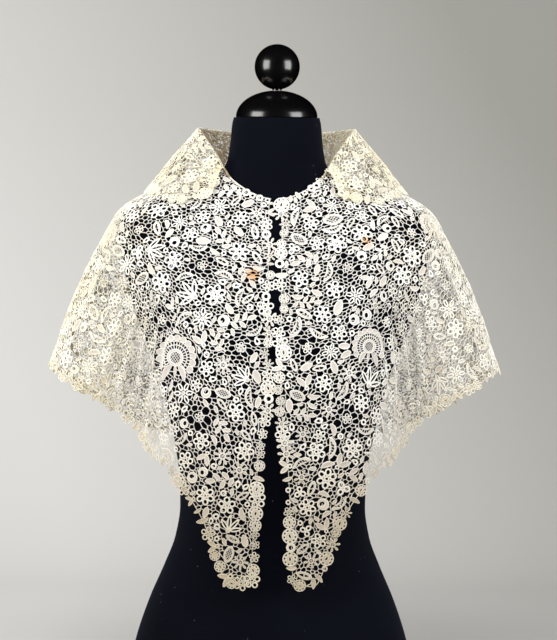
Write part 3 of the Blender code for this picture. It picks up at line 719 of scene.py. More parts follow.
def nearLine(outline, grid, margin):
    found = np.zeros(len(grid), bool)
    for a, b in zip(outline, np.roll(outline, -1, axis=0)):
        run = b - a
        share = np.clip(((grid - a) @ run) / max(run @ run, 1e-12), 0, 1)
        found |= lengths(grid - a - share[:, None] * run) < margin
    return found


def outlineMask(outlines, step, margin=0.0):
    # places on a fine grid that lie within the outlines, or within a margin of them
    every = np.concatenate(outlines)
    low, high = every.min(0) - margin - step, every.max(0) + margin + step
    xs, ys = np.arange(low[0], high[0], step), np.arange(low[1], high[1], step)
    grid = np.stack(np.meshgrid(xs, ys), axis=-1).reshape(-1, 2)
    found = np.zeros(len(grid), bool)
    for outline in outlines:
        found |= withinLine(outline, grid)
        if margin:
            found |= nearLine(outline, grid, margin)
    return grid[found]


def stocked(made, spacing, solidStep=0.55 * mm, keepStep=0.75 * mm):
    # a motif with the places that it fills and the places that it keeps others out of
    shapes, outlines = made
    return {"shape": together(shapes), "solid": outlineMask(outlines, solidStep),
            "keep": outlineMask(outlines, keepStep, spacing)}


# How the lace is filled: each motif is tried at random places until it has its number in each unit of area.
# The lift is in mm
fill = {
    "gap": 1.5 * mm, "smallGap": 1.0 * mm, "edgeGap": 0.5 * mm, "closeGap": 0.4 * mm, "tries": 24,
    "size": (0.88, 1.14), "lift": 0.25, "unitArea": 0.01,
    "numbers": {
        "fanSpray": 0.50, "loopFlower": 0.85, "medallion": 0.60, "spray": 0.80, "forgetSix": 1.70,
        "forgetFive": 2.10, "daisy": 0.90, "sickle": 1.90, "leafPair": 1.00, "eyeRing": 1.50,
        "slitLeaf": 2.40, "bigLeaf": 0.90, "forgetSmall": 2.30, "trefoil": 1.20, "leaf": 2.60,
        "bentLeaf": 3.00, "bud": 4.60, "smallRing": 4.00, "smallLeaf": 9.00,
    },
}
drawn = (
    (fill["gap"], {
        "fanSpray": fanSpray(), "loopFlower": loopFlower(), "medallion": medallion(), "spray": spray(),
        "forgetSix": forgetMeNot(6, 12.0 * mm), "forgetFive": forgetMeNot(5, 10.8 * mm),
        "forgetSmall": forgetMeNot(5, 8.4 * mm), "daisy": daisy(),
        "sickle": slitLeaf(8.2 * mm, 26 * mm, 3.6 * mm, 4), "leafPair": leafPair(), "eyeRing": eyeRing(),
        "slitLeaf": slitLeaf(), "bigLeaf": leaf(10.0 * mm, 19 * mm), "trefoil": trefoil(), "leaf": leaf(),
        "bentLeaf": leaf(6.4 * mm, 15.5 * mm, 1.8 * mm),
    }),
    (fill["smallGap"], {"bud": bud(), "smallRing": smallRing(), "smallLeaf": smallLeaf()}),
    (fill["edgeGap"], {"pinDisc": pinDisc(), "borderDaisy": daisy(7, 8.6 * mm),
                       "borderForget": forgetMeNot(5, 8.2 * mm)}),
    (fill["closeGap"], {"borderRing": smallRing(4.6 * mm), "borderPair": leafPair(11 * mm),
                        "borderLeaf": leaf(5.4 * mm, 13.5 * mm, 0.8 * mm),
                        "heart": forgetMeNot(5, 6.7 * mm)}),
    (fill["gap"], {"flowerHead": flowerHead()}),
)
motifs = {name: stocked(made, spacing) for spacing, group in drawn for name, made in group.items()}
print("motifs drawn:", len(motifs))

# The plan of a panel is a fine grid over its flat cut that says what is taken
grid = {"step": 0.5 * mm, "margin": 12 * mm}


class Plan:
    def __init__(self, panel, outline):
        self.panel = panel
        flat = panel.flat(*outline.T)
        self.low = flat.min(0) - grid["margin"]
        self.size = np.ceil((flat.max(0) + grid["margin"] - self.low) / grid["step"]).astype(int) + 1
        self.inside = self.filled(flat)
        self.solid = np.zeros(self.size, bool)
        self.blocked = ~self.inside
        self.placed = {name: [] for name in motifs}

    def filled(self, flat):
        # which cells of the grid lie within a closed line
        mask = np.zeros(self.size, bool)
        ys = self.low[1] + (np.arange(self.size[1]) + 0.5) * grid["step"]
        xs = self.low[0] + (np.arange(self.size[0]) + 0.5) * grid["step"]
        a, b = flat, np.roll(flat, -1, axis=0)
        for row, y in enumerate(ys):
            crosses = (a[:, 1] > y) != (b[:, 1] > y)
            at = a[crosses, 0] + (y - a[crosses, 1]) * (b - a)[crosses, 0] / (b - a)[crosses, 1]
            mask[:, row] = (xs[:, None] > at[None]).sum(1) % 2 == 1
        return mask

    def cells(self, angle, along):
        at = ((self.panel.flat(angle, along) - self.low) / grid["step"]).astype(int)
        at = np.clip(at, 0, self.size - 1)
        return tuple(at.T)

    def laid(self, points, row):
        c, s = math.cos(row["turn"]) * row["size"], math.sin(row["turn"]) * row["size"]
        x, y = points[:, 0] * row["flip"], points[:, 1]
        steps = row["map"] @ np.stack((x * c - y * s, x * s + y * c))
        return row["angle"] + steps[0], row["along"] + steps[1]

    def put(self, name, row, force=False):
        solid = self.cells(*self.laid(motifs[name]["solid"], row))
        if not force and self.blocked[solid].any():
            return False
        self.solid[solid] = True
        self.blocked[self.cells(*self.laid(motifs[name]["keep"], row))] = True
        self.placed[name].append(row)
        return True


def rowOf(panel, angle, along, turn=0.0, size=1.0, flip=1, lift=0.0, spot=None, edge=0.0):
    if spot is None:
        spot = panel.spots(np.array((angle,)), np.array((along,)))[0]
    return {"angle": angle, "along": along, "turn": turn, "size": size, "flip": flip, "lift": lift,
            "map": spot, "edge": edge}


# Edge work: step between motifs, how far their middles stand in from the edge, how much they stray and vary,
# how aged they are, and the stock that they are drawn from with its shares. parted gives the heights where
# the front edges stand apart, and half the length of each gap
edgeWork = {
    "hem": {"step": 14.5 * mm, "inward": 3.2 * mm, "stray": 2.4 * mm, "vary": 0.24, "aged": 1.0,
            "stock": ("pinDisc", "borderDaisy", "borderForget", "borderPair", "borderRing", "borderLeaf"),
            "shares": (0.27, 0.12, 0.15, 0.20, 0.06, 0.20)},
    "centre": {"step": 13.5 * mm, "inward": 0.6 * mm, "stray": 2.2 * mm, "vary": 0.30,
               "parted": ((0.543, 0.010), (0.495, 0.006), (0.459, 0.013), (0.400, 0.006)),
               "partedBy": 4.5 * mm,
               "stock": ("pinDisc", "borderDaisy", "borderForget", "borderRing", "borderLeaf", "borderPair"),
               "shares": (0.27, 0.20, 0.22, 0.11, 0.13, 0.07)},
    "neck": {"step": 9.5 * mm, "inward": 2.0 * mm, "stray": 1.5 * mm, "vary": 0.25,
             "stock": ("borderRing", "borderForget", "smallLeaf"), "shares": (0.55, 0.25, 0.20)},
    "end": {"step": 10.5 * mm, "inward": 3.0 * mm, "stray": 1.4 * mm, "vary": 0.22,
            "stock": ("borderRing", "borderForget", "pinDisc", "smallLeaf"),
            "shares": (0.4, 0.25, 0.2, 0.15)},
}
# How edge motifs are laid, with lifts in mm. The waves make one front's work large where the other's is
# small, so that the meeting line wanders. overlap lifts the front that lies over the other
edgeLay = {"waves": 61, "firstWave": 1.1, "inwardShare": 0.6, "turn": 0.4, "overlap": 0.9, "lift": 0.3,
           "aged": 0.2}
# Radius of the cord along each kind of edge, and how every cord is made
cords = {"hem": 0.50 * mm, "centre": 0.34 * mm, "neck": 0.60 * mm, "end": 0.42 * mm, "seam": 0.80 * mm,
         "tape": 0.95 * mm, "step": 2.6 * mm, "sides": 5, "tone": 0.9}


def placeEdgeWork(plan, edges):
    panel = plan.panel
    for kind, path in edges:
        if kind not in edgeWork:
            continue
        work = edgeWork[kind]
        feet = spreadEvenly(panel, path, work["step"])
        middles = (feet[:-1] + feet[1:]) / 2
        spots = panel.spots(*middles.T)
        for middle, step, spot in zip(middles, np.diff(feet, axis=0), spots):
            run = np.linalg.inv(spot) @ step
            length = np.linalg.norm(run)
            inward = np.array((run[1], -run[0])) / length
            size = 1 + dice.uniform(-work["vary"], work["vary"])
            if kind == "centre":
                wave = math.sin(middle[1] * edgeLay["waves"] + edgeLay["firstWave"])
                size = 1 + work["vary"] * wave * panel.side
            name = str(dice.choice(work["stock"], p=work["shares"]))
            height = panel.bare(*middle)[0, 2]
            parted = any(abs(height - at) < half for at, half in work.get("parted", ()))
            place = inward * (work["inward"] + (work["partedBy"] if parted else 0.0))
            place = place + inward * dice.uniform(-1, 1) * work["stray"] * edgeLay["inwardShare"]
            place = middle + spot @ (place + run / length * dice.uniform(-1, 1) * work["stray"])
            turn = math.atan2(-inward[1], -inward[0]) - math.pi / 2
            turn += dice.uniform(-edgeLay["turn"], edgeLay["turn"])
            overlaps = kind == "centre" and panel.side > 0
            lift = (edgeLay["overlap"] if overlaps else dice.uniform(0, edgeLay["lift"])) * mm
            aged = work.get("aged", edgeLay["aged"])
            plan.put(name, rowOf(panel, place[0], place[1], turn, size, 1, lift, edge=aged), force=True)


# Flowers at the places where the solids have theirs, each with its ring of wide openings. disc is how far
# out, in mm, nothing else is laid
flowers = {"rows": 86 * mm, "columns": 98 * mm, "first": 40 * mm, "last": {"front": 0.490, "back": 0.402},
           "openings": 5, "reach": 11.7 * mm, "frontColumn": 0.38, "collarRow": 0.70, "clear": 16.5 * mm,
           "rimStep": 0.2, "disc": 15.0, "discStep": 0.5, "discTurn": 0.03}


def flowerPlaces(panel):
    first, start, stop = 0.0, flowers["first"], flowers["last"].get(panel.kind, collar["depth"])
    far = math.radians(collar["end"]) if panel.kind == "collar" else math.pi / 2
    if panel.kind == "collar":
        start = flowers["collarRow"] * collar["depth"]
    if panel.kind == "front":
        first = flowers["frontColumn"]
    made = []
    for row, along in enumerate(np.arange(start, stop, flowers["rows"])):
        at = panel.middle + (-far / 2 if panel.kind == "back" else far / 2)
        around = lengths(panel.frameAt(np.array((at,)), np.array((along,)))[1][0])
        column = first + 0.5 * (row % 2)
        while column * flowers["columns"] / around < far:
            angle = column * flowers["columns"] / around
            signs = (panel.side,) if panel.kind == "front" else ((1, -1) if angle > 1e-6 else (1,))
            made += [(panel.middle + sign * angle, along) for sign in signs]
            column += 1
    return made


def placeFlowers(plan):
    # the wide openings' middles come back as seeds for the net
    seeds = []
    rim = np.array([polar(t, flowers["clear"]) for t in np.arange(0, math.tau, flowers["rimStep"])])
    reaches = np.arange(1, flowers["disc"] / flowers["discStep"] + 1) * flowers["discStep"] * mm
    turns = np.arange(0, math.tau, flowers["discTurn"])
    around = np.array([polar(t, reach) for reach in reaches for t in turns])
    for angle, along in flowerPlaces(plan.panel):
        row = rowOf(plan.panel, angle, along, math.tau * 0.75 / flowers["openings"])
        rimAt = np.array((angle, along)) + rim @ row["map"].T
        cells = plan.cells(*rimAt.T)
        if not plan.inside[cells].all() or plan.solid[cells].any():
            continue
        plan.put("heart", row, force=True)
        taken = np.array((angle, along)) + around @ row["map"].T
        plan.blocked[plan.cells(*taken.T)] = True
        for k in range(flowers["openings"]):
            middle = polar(math.tau * (k + 0.25) / flowers["openings"], flowers["reach"])
            seeds.append(np.array((angle, along)) + row["map"] @ middle)
    return np.array(seeds).reshape(-1, 2)


# Large flower heads, listed one by one: angle, how far down, turn in degrees, size
largeHeads = {
    "left front": ((28.4, 0.2300, 12, 0.80), (57.0, 0.285, -20, 0.72), (70.0, 0.140, 25, 0.70)),
    "right front": ((28.9, 0.2465, 4, 1.0), (60.0, 0.300, -8, 0.72), (74.0, 0.165, 30, 0.66)),
    "back": ((155.0, 0.250, -5, 0.95), (115.0, 0.260, 10, 0.75), (180.0, 0.120, 0, 0.85)),
    "collar": (),
}


def placeLargeHeads(plan):
    panel = plan.panel
    fronts = {1: "left front", -1: "right front"}
    rows = largeHeads[fronts[panel.side] if panel.kind == "front" else panel.kind]
    for degrees, along, turn, size in rows:
        sides = (panel.side,) if panel.kind == "front" else ((1, -1) if degrees < 180 else (1,))
        for sign in sides:
            angle = math.radians(degrees) * sign + (math.tau if panel.kind == "back" and sign < 0 else 0.0)
            plan.put("flowerHead", rowOf(panel, angle, along, math.radians(turn) * sign, size, sign))


def fillPanel(plan, area):
    panel = plan.panel
    for name, each in fill["numbers"].items():
        wanted = round(each * area / fill["unitArea"])
        free = np.argwhere(~plan.blocked)
        cells = free[dice.integers(len(free), size=wanted * fill["tries"])]
        angle, along = panel.fromFlat(plan.low + (cells + 0.5) * grid["step"])
        spots = panel.spots(angle, along, gathered=True)
        got = 0
        for k in range(len(cells)):
            if got >= wanted:
                break
            if not plan.blocked[cells[k, 0], cells[k, 1]]:
                turn, size = dice.uniform(0, math.tau), dice.uniform(*fill["size"])
                flip, lift = dice.choice((-1, 1)), dice.uniform(0, fill["lift"]) * mm
                got += plan.put(name, rowOf(panel, angle[k], along[k], turn, size, flip, lift, spots[k]))


# The net between the motifs. beyond and samples are how each row of it is measured, readings is how often
# a thread is tested against the motifs, widths, past and under are shares of its own size, and clearStep
# is in mm
net = {"cell": 5.1 * mm, "rowStep": 4.5 * mm, "jitter": 0.31, "thread": 1.12 * mm, "height": 0.42 * mm,
       "openingClear": 5.6 * mm, "overlap": 0.6 * mm, "edge": 2.4 * mm, "beyond": 0.06, "samples": 260,
       "readings": 21, "widths": (0.72, 1.22), "past": 0.3, "under": 0.5, "tones": (0.25, 0.85),
       "clearFrom": -0.5, "clearStep": 0.4}


def netSeeds(plan, outline, wide):
    panel = plan.panel
    angles, reach = outline[:, 0], outline[:, 1].max()
    seeds = []
    samples = np.linspace(angles.min() - net["beyond"], angles.max() + net["beyond"], net["samples"])
    for along in np.arange(-net["rowStep"], reach + net["rowStep"], net["rowStep"]):
        steps = lengths(np.diff(panel.bare(samples, max(along, 0.0)), axis=0))
        run = travelled(steps * panel.gather(samples[1:], max(along, 0.0)))
        at = np.arange(dice.uniform(0, net["cell"]), run[-1], net["cell"])
        at = at + dice.uniform(-net["jitter"], net["jitter"], len(at)) * net["cell"]
        rows = along + dice.uniform(-net["jitter"], net["jitter"], len(at)) * net["rowStep"]
        seeds.append(np.stack((np.interp(at, run, samples), rows), axis=1))
    seeds = np.concatenate(seeds)
    seeds = seeds[~plan.solid[plan.cells(*seeds.T)]]
    here = panel.bare(*seeds.T)
    apart = np.full(len(seeds), np.inf)
    for place in panel.bare(*wide.T):
        apart = np.minimum(apart, lengths(here - place))
    return np.concatenate((seeds[apart > net["openingClear"]], wide))


def inset(panel, path, distance):
    # the path moved into the cloth
    spots = panel.spots(*path.T)
    run = np.einsum("kij,kj->ki", np.linalg.inv(spots), np.gradient(path, axis=0))
    inward = unit(np.stack((run[:, 1], -run[:, 0]), axis=1)) * distance
    return path + np.einsum("kij,kj->ki", spots, inward)


def clearEdge(plan, edges):
    # the net ends a little inside the edges that have edge work
    for kind, path in edges:
        if kind in ("hem", "centre"):
            for distance in np.arange(net["clearFrom"], net["edge"] / mm, net["clearStep"]) * mm:
                line = spreadEvenly(plan.panel, inset(plan.panel, path, distance), net["clearStep"] * mm)
                plan.solid[plan.cells(*line.T)] = True


def netBars(plan, seeds):
    # threads run between the middles of neighbouring triangles of seeds, and stop inside the motifs
    flat = plan.panel.flat(*seeds.T)
    places, _, faces, *_ = delaunay_2d_cdt([Vector(p) for p in flat], [], [], 0, 1e-9)
    places = np.array([tuple(p) for p in places])
    corners = np.array([tuple(f) for f in faces if len(f) == 3])
    middles = places[corners].mean(axis=1)
    sides = np.sort(np.concatenate((corners[:, [0, 1]], corners[:, [1, 2]], corners[:, [2, 0]])), axis=1)
    owner = np.tile(np.arange(len(corners)), 3)
    order = np.lexsort((sides[:, 1], sides[:, 0]))
    sides, owner = sides[order], owner[order]
    same = (sides[1:] == sides[:-1]).all(axis=1)
    a, b = middles[owner[:-1][same]], middles[owner[1:][same]]
    count = net["readings"]
    line = a[:, None] + (b - a)[:, None] * np.linspace(0, 1, count)[None, :, None]
    at = np.clip(((line - plan.low) / grid["step"]).astype(int), 0, plan.size - 1)
    free = (plan.inside & ~plan.solid)[at[..., 0], at[..., 1]]
    shows = free.any(axis=1)
    a, b, free = a[shows], b[shows], free[shows]
    first = free.argmax(axis=1) / (count - 1)
    last = 1 - free[:, ::-1].argmax(axis=1) / (count - 1)
    spare = net["overlap"] / np.maximum(lengths(b - a), 1e-6)
    first, last = np.maximum(first - spare, 0), np.minimum(last + spare, 1)
    return a + (b - a) * first[:, None], a + (b - a) * last[:, None]


# Age of the lace, and painted shade: whitest over the chest, creamier on the wings, tips, collar and edges.
# The wearer's left, and a collar's edge, have only a share of it. Painted shade darkens the tips, where the
# light falls off towards the bottom, and the inside of the collar's stand, in the neck's shade, less so on
# the wearer's left;
# edge work is a little darker too
ageingAndShade = {"chest": 0.10, "wing": 0.70, "wingFrom": 0.125, "wingSpan": 0.09, "tip": 0.45, "tipFrom": 0.30,
          "tipSpan": 0.13, "collar": 0.95, "edge": 0.25, "leftShare": 0.6, "collarEdge": 0.3,
          "stand": 0.92, "standShadeSpan": 6 * mm, "tipShade": 0.50, "shadeFrom": 0.40, "shadeSpan": 0.20,
          "edgeDarkening": 0.10}


def lookOf(panel, places, across, tones, edge=0.0):
    # for each point: how corded it is, how aged, and how much painted shade it gets
    left = np.where(places[:, 0] > 0, ageingAndShade["leftShare"], 1.0)
    wing = np.clip((np.abs(places[:, 0]) - ageingAndShade["wingFrom"]) / ageingAndShade["wingSpan"], 0, 1)
    aged = ageingAndShade["chest"] + ageingAndShade["wing"] * left * wing
    aged = aged + ageingAndShade["tip"] * np.clip((ageingAndShade["tipFrom"] - places[:, 2]) / ageingAndShade["tipSpan"], 0, 1)
    # painted shade at the tips, darker towards the bottom where the light falls off
    paintedShade = ageingAndShade["tipShade"] * np.clip((ageingAndShade["shadeFrom"] - places[:, 2]) / ageingAndShade["shadeSpan"], 0, 1)
    if panel.kind == "collar":
        aged = aged + ageingAndShade["collar"]
        # painted shade on the inside of the collar's stand, which the neck keeps in shade; less of it on the
        # wearer's left
        inside = collar["crest"] * collar["depth"] - across
        paintedShade = ageingAndShade["stand"] * left * np.clip(inside / ageingAndShade["standShadeSpan"], 0, 1)
        edge = edge * ageingAndShade["collarEdge"]
    aged = aged + ageingAndShade["edge"] * edge
    # edge work is a little darker, mixed toward the same painted shade colour
    paintedShade = paintedShade + ageingAndShade["edgeDarkening"] * edge
    return np.stack((np.clip(tones, 0, 1), np.clip(aged, 0, 1), paintedShade), axis=1)


def netPart(panel, start, stop):
    # three-sided threads, closed at both ends
    a, b = panel.fromFlat(start), panel.fromFlat(stop)
    start, face = panel.surface(*a)
    stop, _ = panel.surface(*b)
    count = len(start)
    width = (net["thread"] * dice.uniform(*net["widths"], count))[:, None]
    way = unit(stop - start)
    aside = unit(np.cross(face, way)) * width / 2
    up = face * net["height"]
    start, stop = start - way * width * net["past"], stop + way * width * net["past"]
    corners = [at + offset for at in (start, stop)
               for offset in (aside - up * net["under"], -aside - up * net["under"], up)]
    points = np.stack(corners, axis=1).reshape(-1, 3)
    faces = (np.arange(count)[:, None, None] * len(corners) + prism[None]).reshape(-1, 3)
    tones = np.repeat(dice.uniform(*net["tones"], count), len(corners))
    return points, faces, lookOf(panel, points, np.repeat(a[1], len(corners)), tones)


def cordPart(panel, path, radius):
    # a closed round cord along a path on the cloth
    sides, way = cords["sides"], spreadEvenly(panel, path, cords["step"])
    middle, face = panel.surface(*way.T)
    aside = unit(np.cross(face, unit(np.gradient(middle, axis=0))))
    turns = np.arange(sides) / sides * math.tau
    rings = (middle[:, None] + aside[:, None] * (np.cos(turns) * radius)[None, :, None]
             + face[:, None] * (np.sin(turns) * radius)[None, :, None])
    points = rings.reshape(-1, 3)
    look = lookOf(panel, points, np.repeat(way[:, 1], sides), np.full(len(points), cords["tone"]), 1.0)
    return points, closedRings(len(middle), sides)[:, ::-1], look


def closedRings(rings, count):
    # faces of a stack of rings, the first at the bottom, closed at both ends
    i, top = np.arange(1, count - 1), (rings - 1) * count
    faces = [between(k * count, (k + 1) * count, count) for k in range(rings - 1)]
    faces.append(np.stack((np.zeros_like(i), i + 1, i), 1))
    faces.append(np.stack((np.full_like(i, top), top + i, top + i + 1), 1))
    return np.concatenate(faces)


# How placed motifs vary: in height, and in tone to either side of their own
laying = {"heights": (0.85, 1.1), "tones": 0.12}


def motifPart(plan, keep):
    # every placed motif that keep chooses, laid on the curved cloth
    panel = plan.panel
    points, faces, tones, edges, count = [], [], [], [], 0
    for name, rows in plan.placed.items():
        shape = motifs[name]["shape"]
        for row in filter(keep, rows):
            angle, along = plan.laid(shape["points"], row)
            heights = shape["points"][:, 2] * dice.uniform(*laying["heights"]) + row["lift"]
            points.append(np.stack((angle, along, heights), axis=1))
            handed = row["flip"] * (1 if panel.kind == "collar" else -1)
            faces.append(shape["faces"][:, ::handed] + count)
            tones.append(shape["tones"] + dice.uniform(-laying["tones"], laying["tones"]))
            edges.append(np.full(len(angle), row["edge"]))
            count += len(angle)
    points = np.concatenate(points)
    place, face = panel.surface(points[:, 0], points[:, 1])
    place = place + face * points[:, 2:]
    look = lookOf(panel, place, points[:, 1], np.concatenate(tones), np.concatenate(edges))
    return place, np.concatenate(faces), look


def meshObject(name, parts, finish, sharp=88):
    counts = np.cumsum([0] + [len(p[0]) for p in parts[:-1]])
    points = np.concatenate([p[0] for p in parts])
    faces = np.concatenate([part[1] + n for part, n in zip(parts, counts)])
    mesh = bpy.data.meshes.new(name)
    mesh.vertices.add(len(points))
    mesh.vertices.foreach_set("co", points.astype(np.float32).ravel())
    mesh.loops.add(len(faces) * 3)
    mesh.loops.foreach_set("vertex_index", faces.astype(np.int32).ravel())
    mesh.polygons.add(len(faces))
    mesh.polygons.foreach_set("loop_start", np.arange(0, len(faces) * 3, 3, dtype=np.int32))
    look = mesh.attributes.new("look", "FLOAT_VECTOR", "POINT")
    look.data.foreach_set("vector", np.concatenate([p[2] for p in parts]).astype(np.float32).ravel())
    mesh.update(calc_edges=True)
    mesh.shade_smooth()
    mesh.set_sharp_from_angle(angle=math.radians(sharp))
    mesh.materials.append(finish)
    made = bpy.data.objects.new(name, mesh)
    bpy.context.scene.collection.objects.link(made)
    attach(made, "root")
    print(name, len(faces), "triangles")
    return made


def feed(tree, inputs, values):
    # each value is a socket to link or a plain setting
    for name, value in values.items():
        if isinstance(value, bpy.types.NodeSocket):
            tree.links.new(value, inputs[name])
        else:
            inputs[name].default_value = value


def nodesFor(name, settings):
    made = bpy.data.materials.new(name)
    made.use_nodes = True
    shader = made.node_tree.nodes["Principled BSDF"].inputs
    feed(made.node_tree, shader, settings)
    return made, made.node_tree, shader


def node(tree, kind, values, **settings):
    made = tree.nodes.new("ShaderNode" + kind)
    for name, value in settings.items():
        setattr(made, name, value)
    feed(tree, made.inputs, values)
    return made


def placeIn(tree):
    return tree.nodes.new("ShaderNodeTexCoord").outputs["Object"]


def texture(tree, kind, settings, output="Fac"):
    return node(tree, "Tex" + kind, {"Vector": placeIn(tree), **settings}).outputs[output]


def mixed(tree, factor, first, second, blend="MIX"):
    # a colour mix; each side is a socket or a colour
    values = {0: factor, 6: first, 7: second}
    return node(tree, "Mix", values, data_type="RGBA", blend_type=blend).outputs[2]


def ramp(tree, source, low, high):
    made = node(tree, "ValToRGB", {0: source})
    for element, (position, value) in zip(tuple(made.color_ramp.elements), (low, high)):
        element.position, element.color = position, (value, value, value, 1.0)
    return made.outputs[0]


def giveRelief(tree, shader, first, second, relief):
    # fine relief from two textures
    bump = node(tree, "Bump", {"Height": mixed(tree, 0.5, first, second), **relief})
    feed(tree, shader, {"Normal": bump.outputs["Normal"]})


# Each ramp is (input, output) at its low end and at its high end
laceFinish = {
    "cord": (0.95, 0.92, 0.85, 1.0), "solid": (0.56, 0.515, 0.480, 1.0), "aged": (0.98, 0.925, 0.69, 1.0),
    "shadow": (0.23, 0.165, 0.095, 1.0), "rust": (0.72, 0.34, 0.10, 1.0),
    "patches": {"Scale": 13.0, "Detail": 3.0}, "patchRamp": ((0.30, 0.45), (0.66, 1.0)),
    "fine": {"Scale": 620.0, "Detail": 2.0}, "weave": {"Scale": 420.0, "Distortion": 3.0, "Detail": 1.0},
    "relief": {"Strength": 0.35, "Distance": 0.0004},
    "shader": {"Roughness": 0.78, "Specular IOR Level": 0.25, "Sheen Weight": 0.25, "Sheen Roughness": 0.5,
               "Subsurface Weight": 0.35, "Subsurface Radius": (1.0, 0.85, 0.6), "Subsurface Scale": 0.0025},
    # stains: angle in degrees and how far down the cape, and how wide; then their middle and their rim as
    # shares of the width, and how strong they are
    "stains": ((-8.0, 0.120, 0.0085), (37.0, 0.104, 0.0065)),
    "stainMiddle": 0.9, "stainRim": 1.7, "stainStrength": 0.8,
}


def laceMaterial():
    made, tree, shader = nodesFor("ivoryThread", laceFinish["shader"])
    look = node(tree, "Attribute", {}, attribute_name="look").outputs["Vector"]
    corded, aged, paintedShade = node(tree, "SeparateXYZ", {0: look}).outputs
    fine = texture(tree, "Noise", laceFinish["fine"])
    patches = ramp(tree, texture(tree, "Noise", laceFinish["patches"]), *laceFinish["patchRamp"])
    patches = node(tree, "Math", {0: patches, 1: aged}, operation="MULTIPLY").outputs[0]
    colour = mixed(tree, corded, laceFinish["solid"], laceFinish["cord"])
    colour = mixed(tree, patches, colour, laceFinish["aged"], "MULTIPLY")
    # painted shade: the colour is mixed toward the shadow colour by the painted shade amount in the look
    # attribute
    colour = mixed(tree, paintedShade, colour, laceFinish["shadow"])
    for turn, along, radius in laceFinish["stains"]:
        apart = {0: placeIn(tree), 1: capePoint(np.radians([turn]), np.array([along]))[0]}
        apart = node(tree, "VectorMath", apart, operation="DISTANCE").outputs["Value"]
        start, stop = radius * laceFinish["stainMiddle"], radius * laceFinish["stainRim"]
        blur = node(tree, "Math", {0: fine, 1: start, 2: apart}, operation="MULTIPLY_ADD").outputs[0]
        spot = ramp(tree, blur, (start, laceFinish["stainStrength"]), (stop, 0.0))
        colour = mixed(tree, spot, colour, laceFinish["rust"])
    feed(tree, shader, {"Base Color": colour})
    giveRelief(tree, shader, fine, texture(tree, "Wave", laceFinish["weave"]), laceFinish["relief"])
    return made


def flatSize(panel, outline):
    places = panel.flat(*outline.T)
    x, y = places.T
    area = abs((x * np.roll(y, -1) - y * np.roll(x, -1)).sum() / 2)
    return float(area), [float(s) for s in np.ptp(places, axis=0)]


def surfaceArea(panel, plan, coarse=8):
    # real area of the cloth, from a coarse grid over its cut
    cells = np.argwhere(plan.inside[::coarse, ::coarse]) * coarse + coarse // 2
    angle, along = panel.fromFlat(plan.low + cells * grid["step"])
    _, around, down, _ = panel.frameAt(angle, along)
    each = lengths(np.cross(around, down))
    return float((each / panel.cutTurn / (panel.cutRadius + along)).sum() * (coarse * grid["step"]) ** 2)


def halvesOf(panel):
    # the back is one panel drawn as two objects, so that neither is too heavy
    if panel.kind != "back":
        return {"": lambda angle: angle == angle}
    return {"_left": lambda angle: angle <= math.pi, "_right": lambda angle: angle > math.pi}


def makeLace(name, piece, finish):
    panel = Panel(piece["kind"], piece["side"])
    edges = panelEdges(panel)
    outline = np.concatenate([path[:-1] for _, path in edges])
    plan = Plan(panel, outline)
    area = surfaceArea(panel, plan)
    placeEdgeWork(plan, edges)
    clearEdge(plan, edges)
    seeds = placeFlowers(plan)
    placeLargeHeads(plan)
    fillPanel(plan, area)
    start, stop = netBars(plan, netSeeds(plan, outline, seeds))
    cutArea, size = flatSize(panel, outline)
    covered = float((plan.solid & plan.inside).sum() / plan.inside.sum())
    areas = (round(area, 4), "m2 worn,", round(cutArea, 4), "m2 flat, solid", round(covered, 2))
    print(name, "cut", np.round(size, 3), *areas)
    middle = panel.fromFlat((start + stop) / 2)[0]
    halves = halvesOf(panel)
    for half, within in halves.items():
        mine = within(middle)
        parts = [netPart(panel, start[mine], stop[mine]), motifPart(plan, lambda row: within(row["angle"]))]
        for kind, path in edges:
            run = path[within(path[:, 0])]
            if len(run) > 1:
                run = inset(panel, run, net["edge"]) if kind in ("hem", "centre") else run
                parts.append(cordPart(panel, run, cords[kind]))
        made = meshObject(name + "_lace" + half, parts, finish)
        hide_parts(name)


# Each panel of lace: planned flat, then laid on its curved form
lacePieces = {
    "front_left": {"kind": "front", "side": 1, "rests": ["dress_form"]},
    "front_right": {"kind": "front", "side": -1, "rests": ["dress_form"]},
    "back": {"kind": "back", "side": 1, "rests": ["dress_form"]},
    "collar": {"kind": "collar", "side": 1, "rests": ["back"]},
}
thread = laceMaterial()
for name, piece in lacePieces.items():
    makeLace(name, piece, thread)


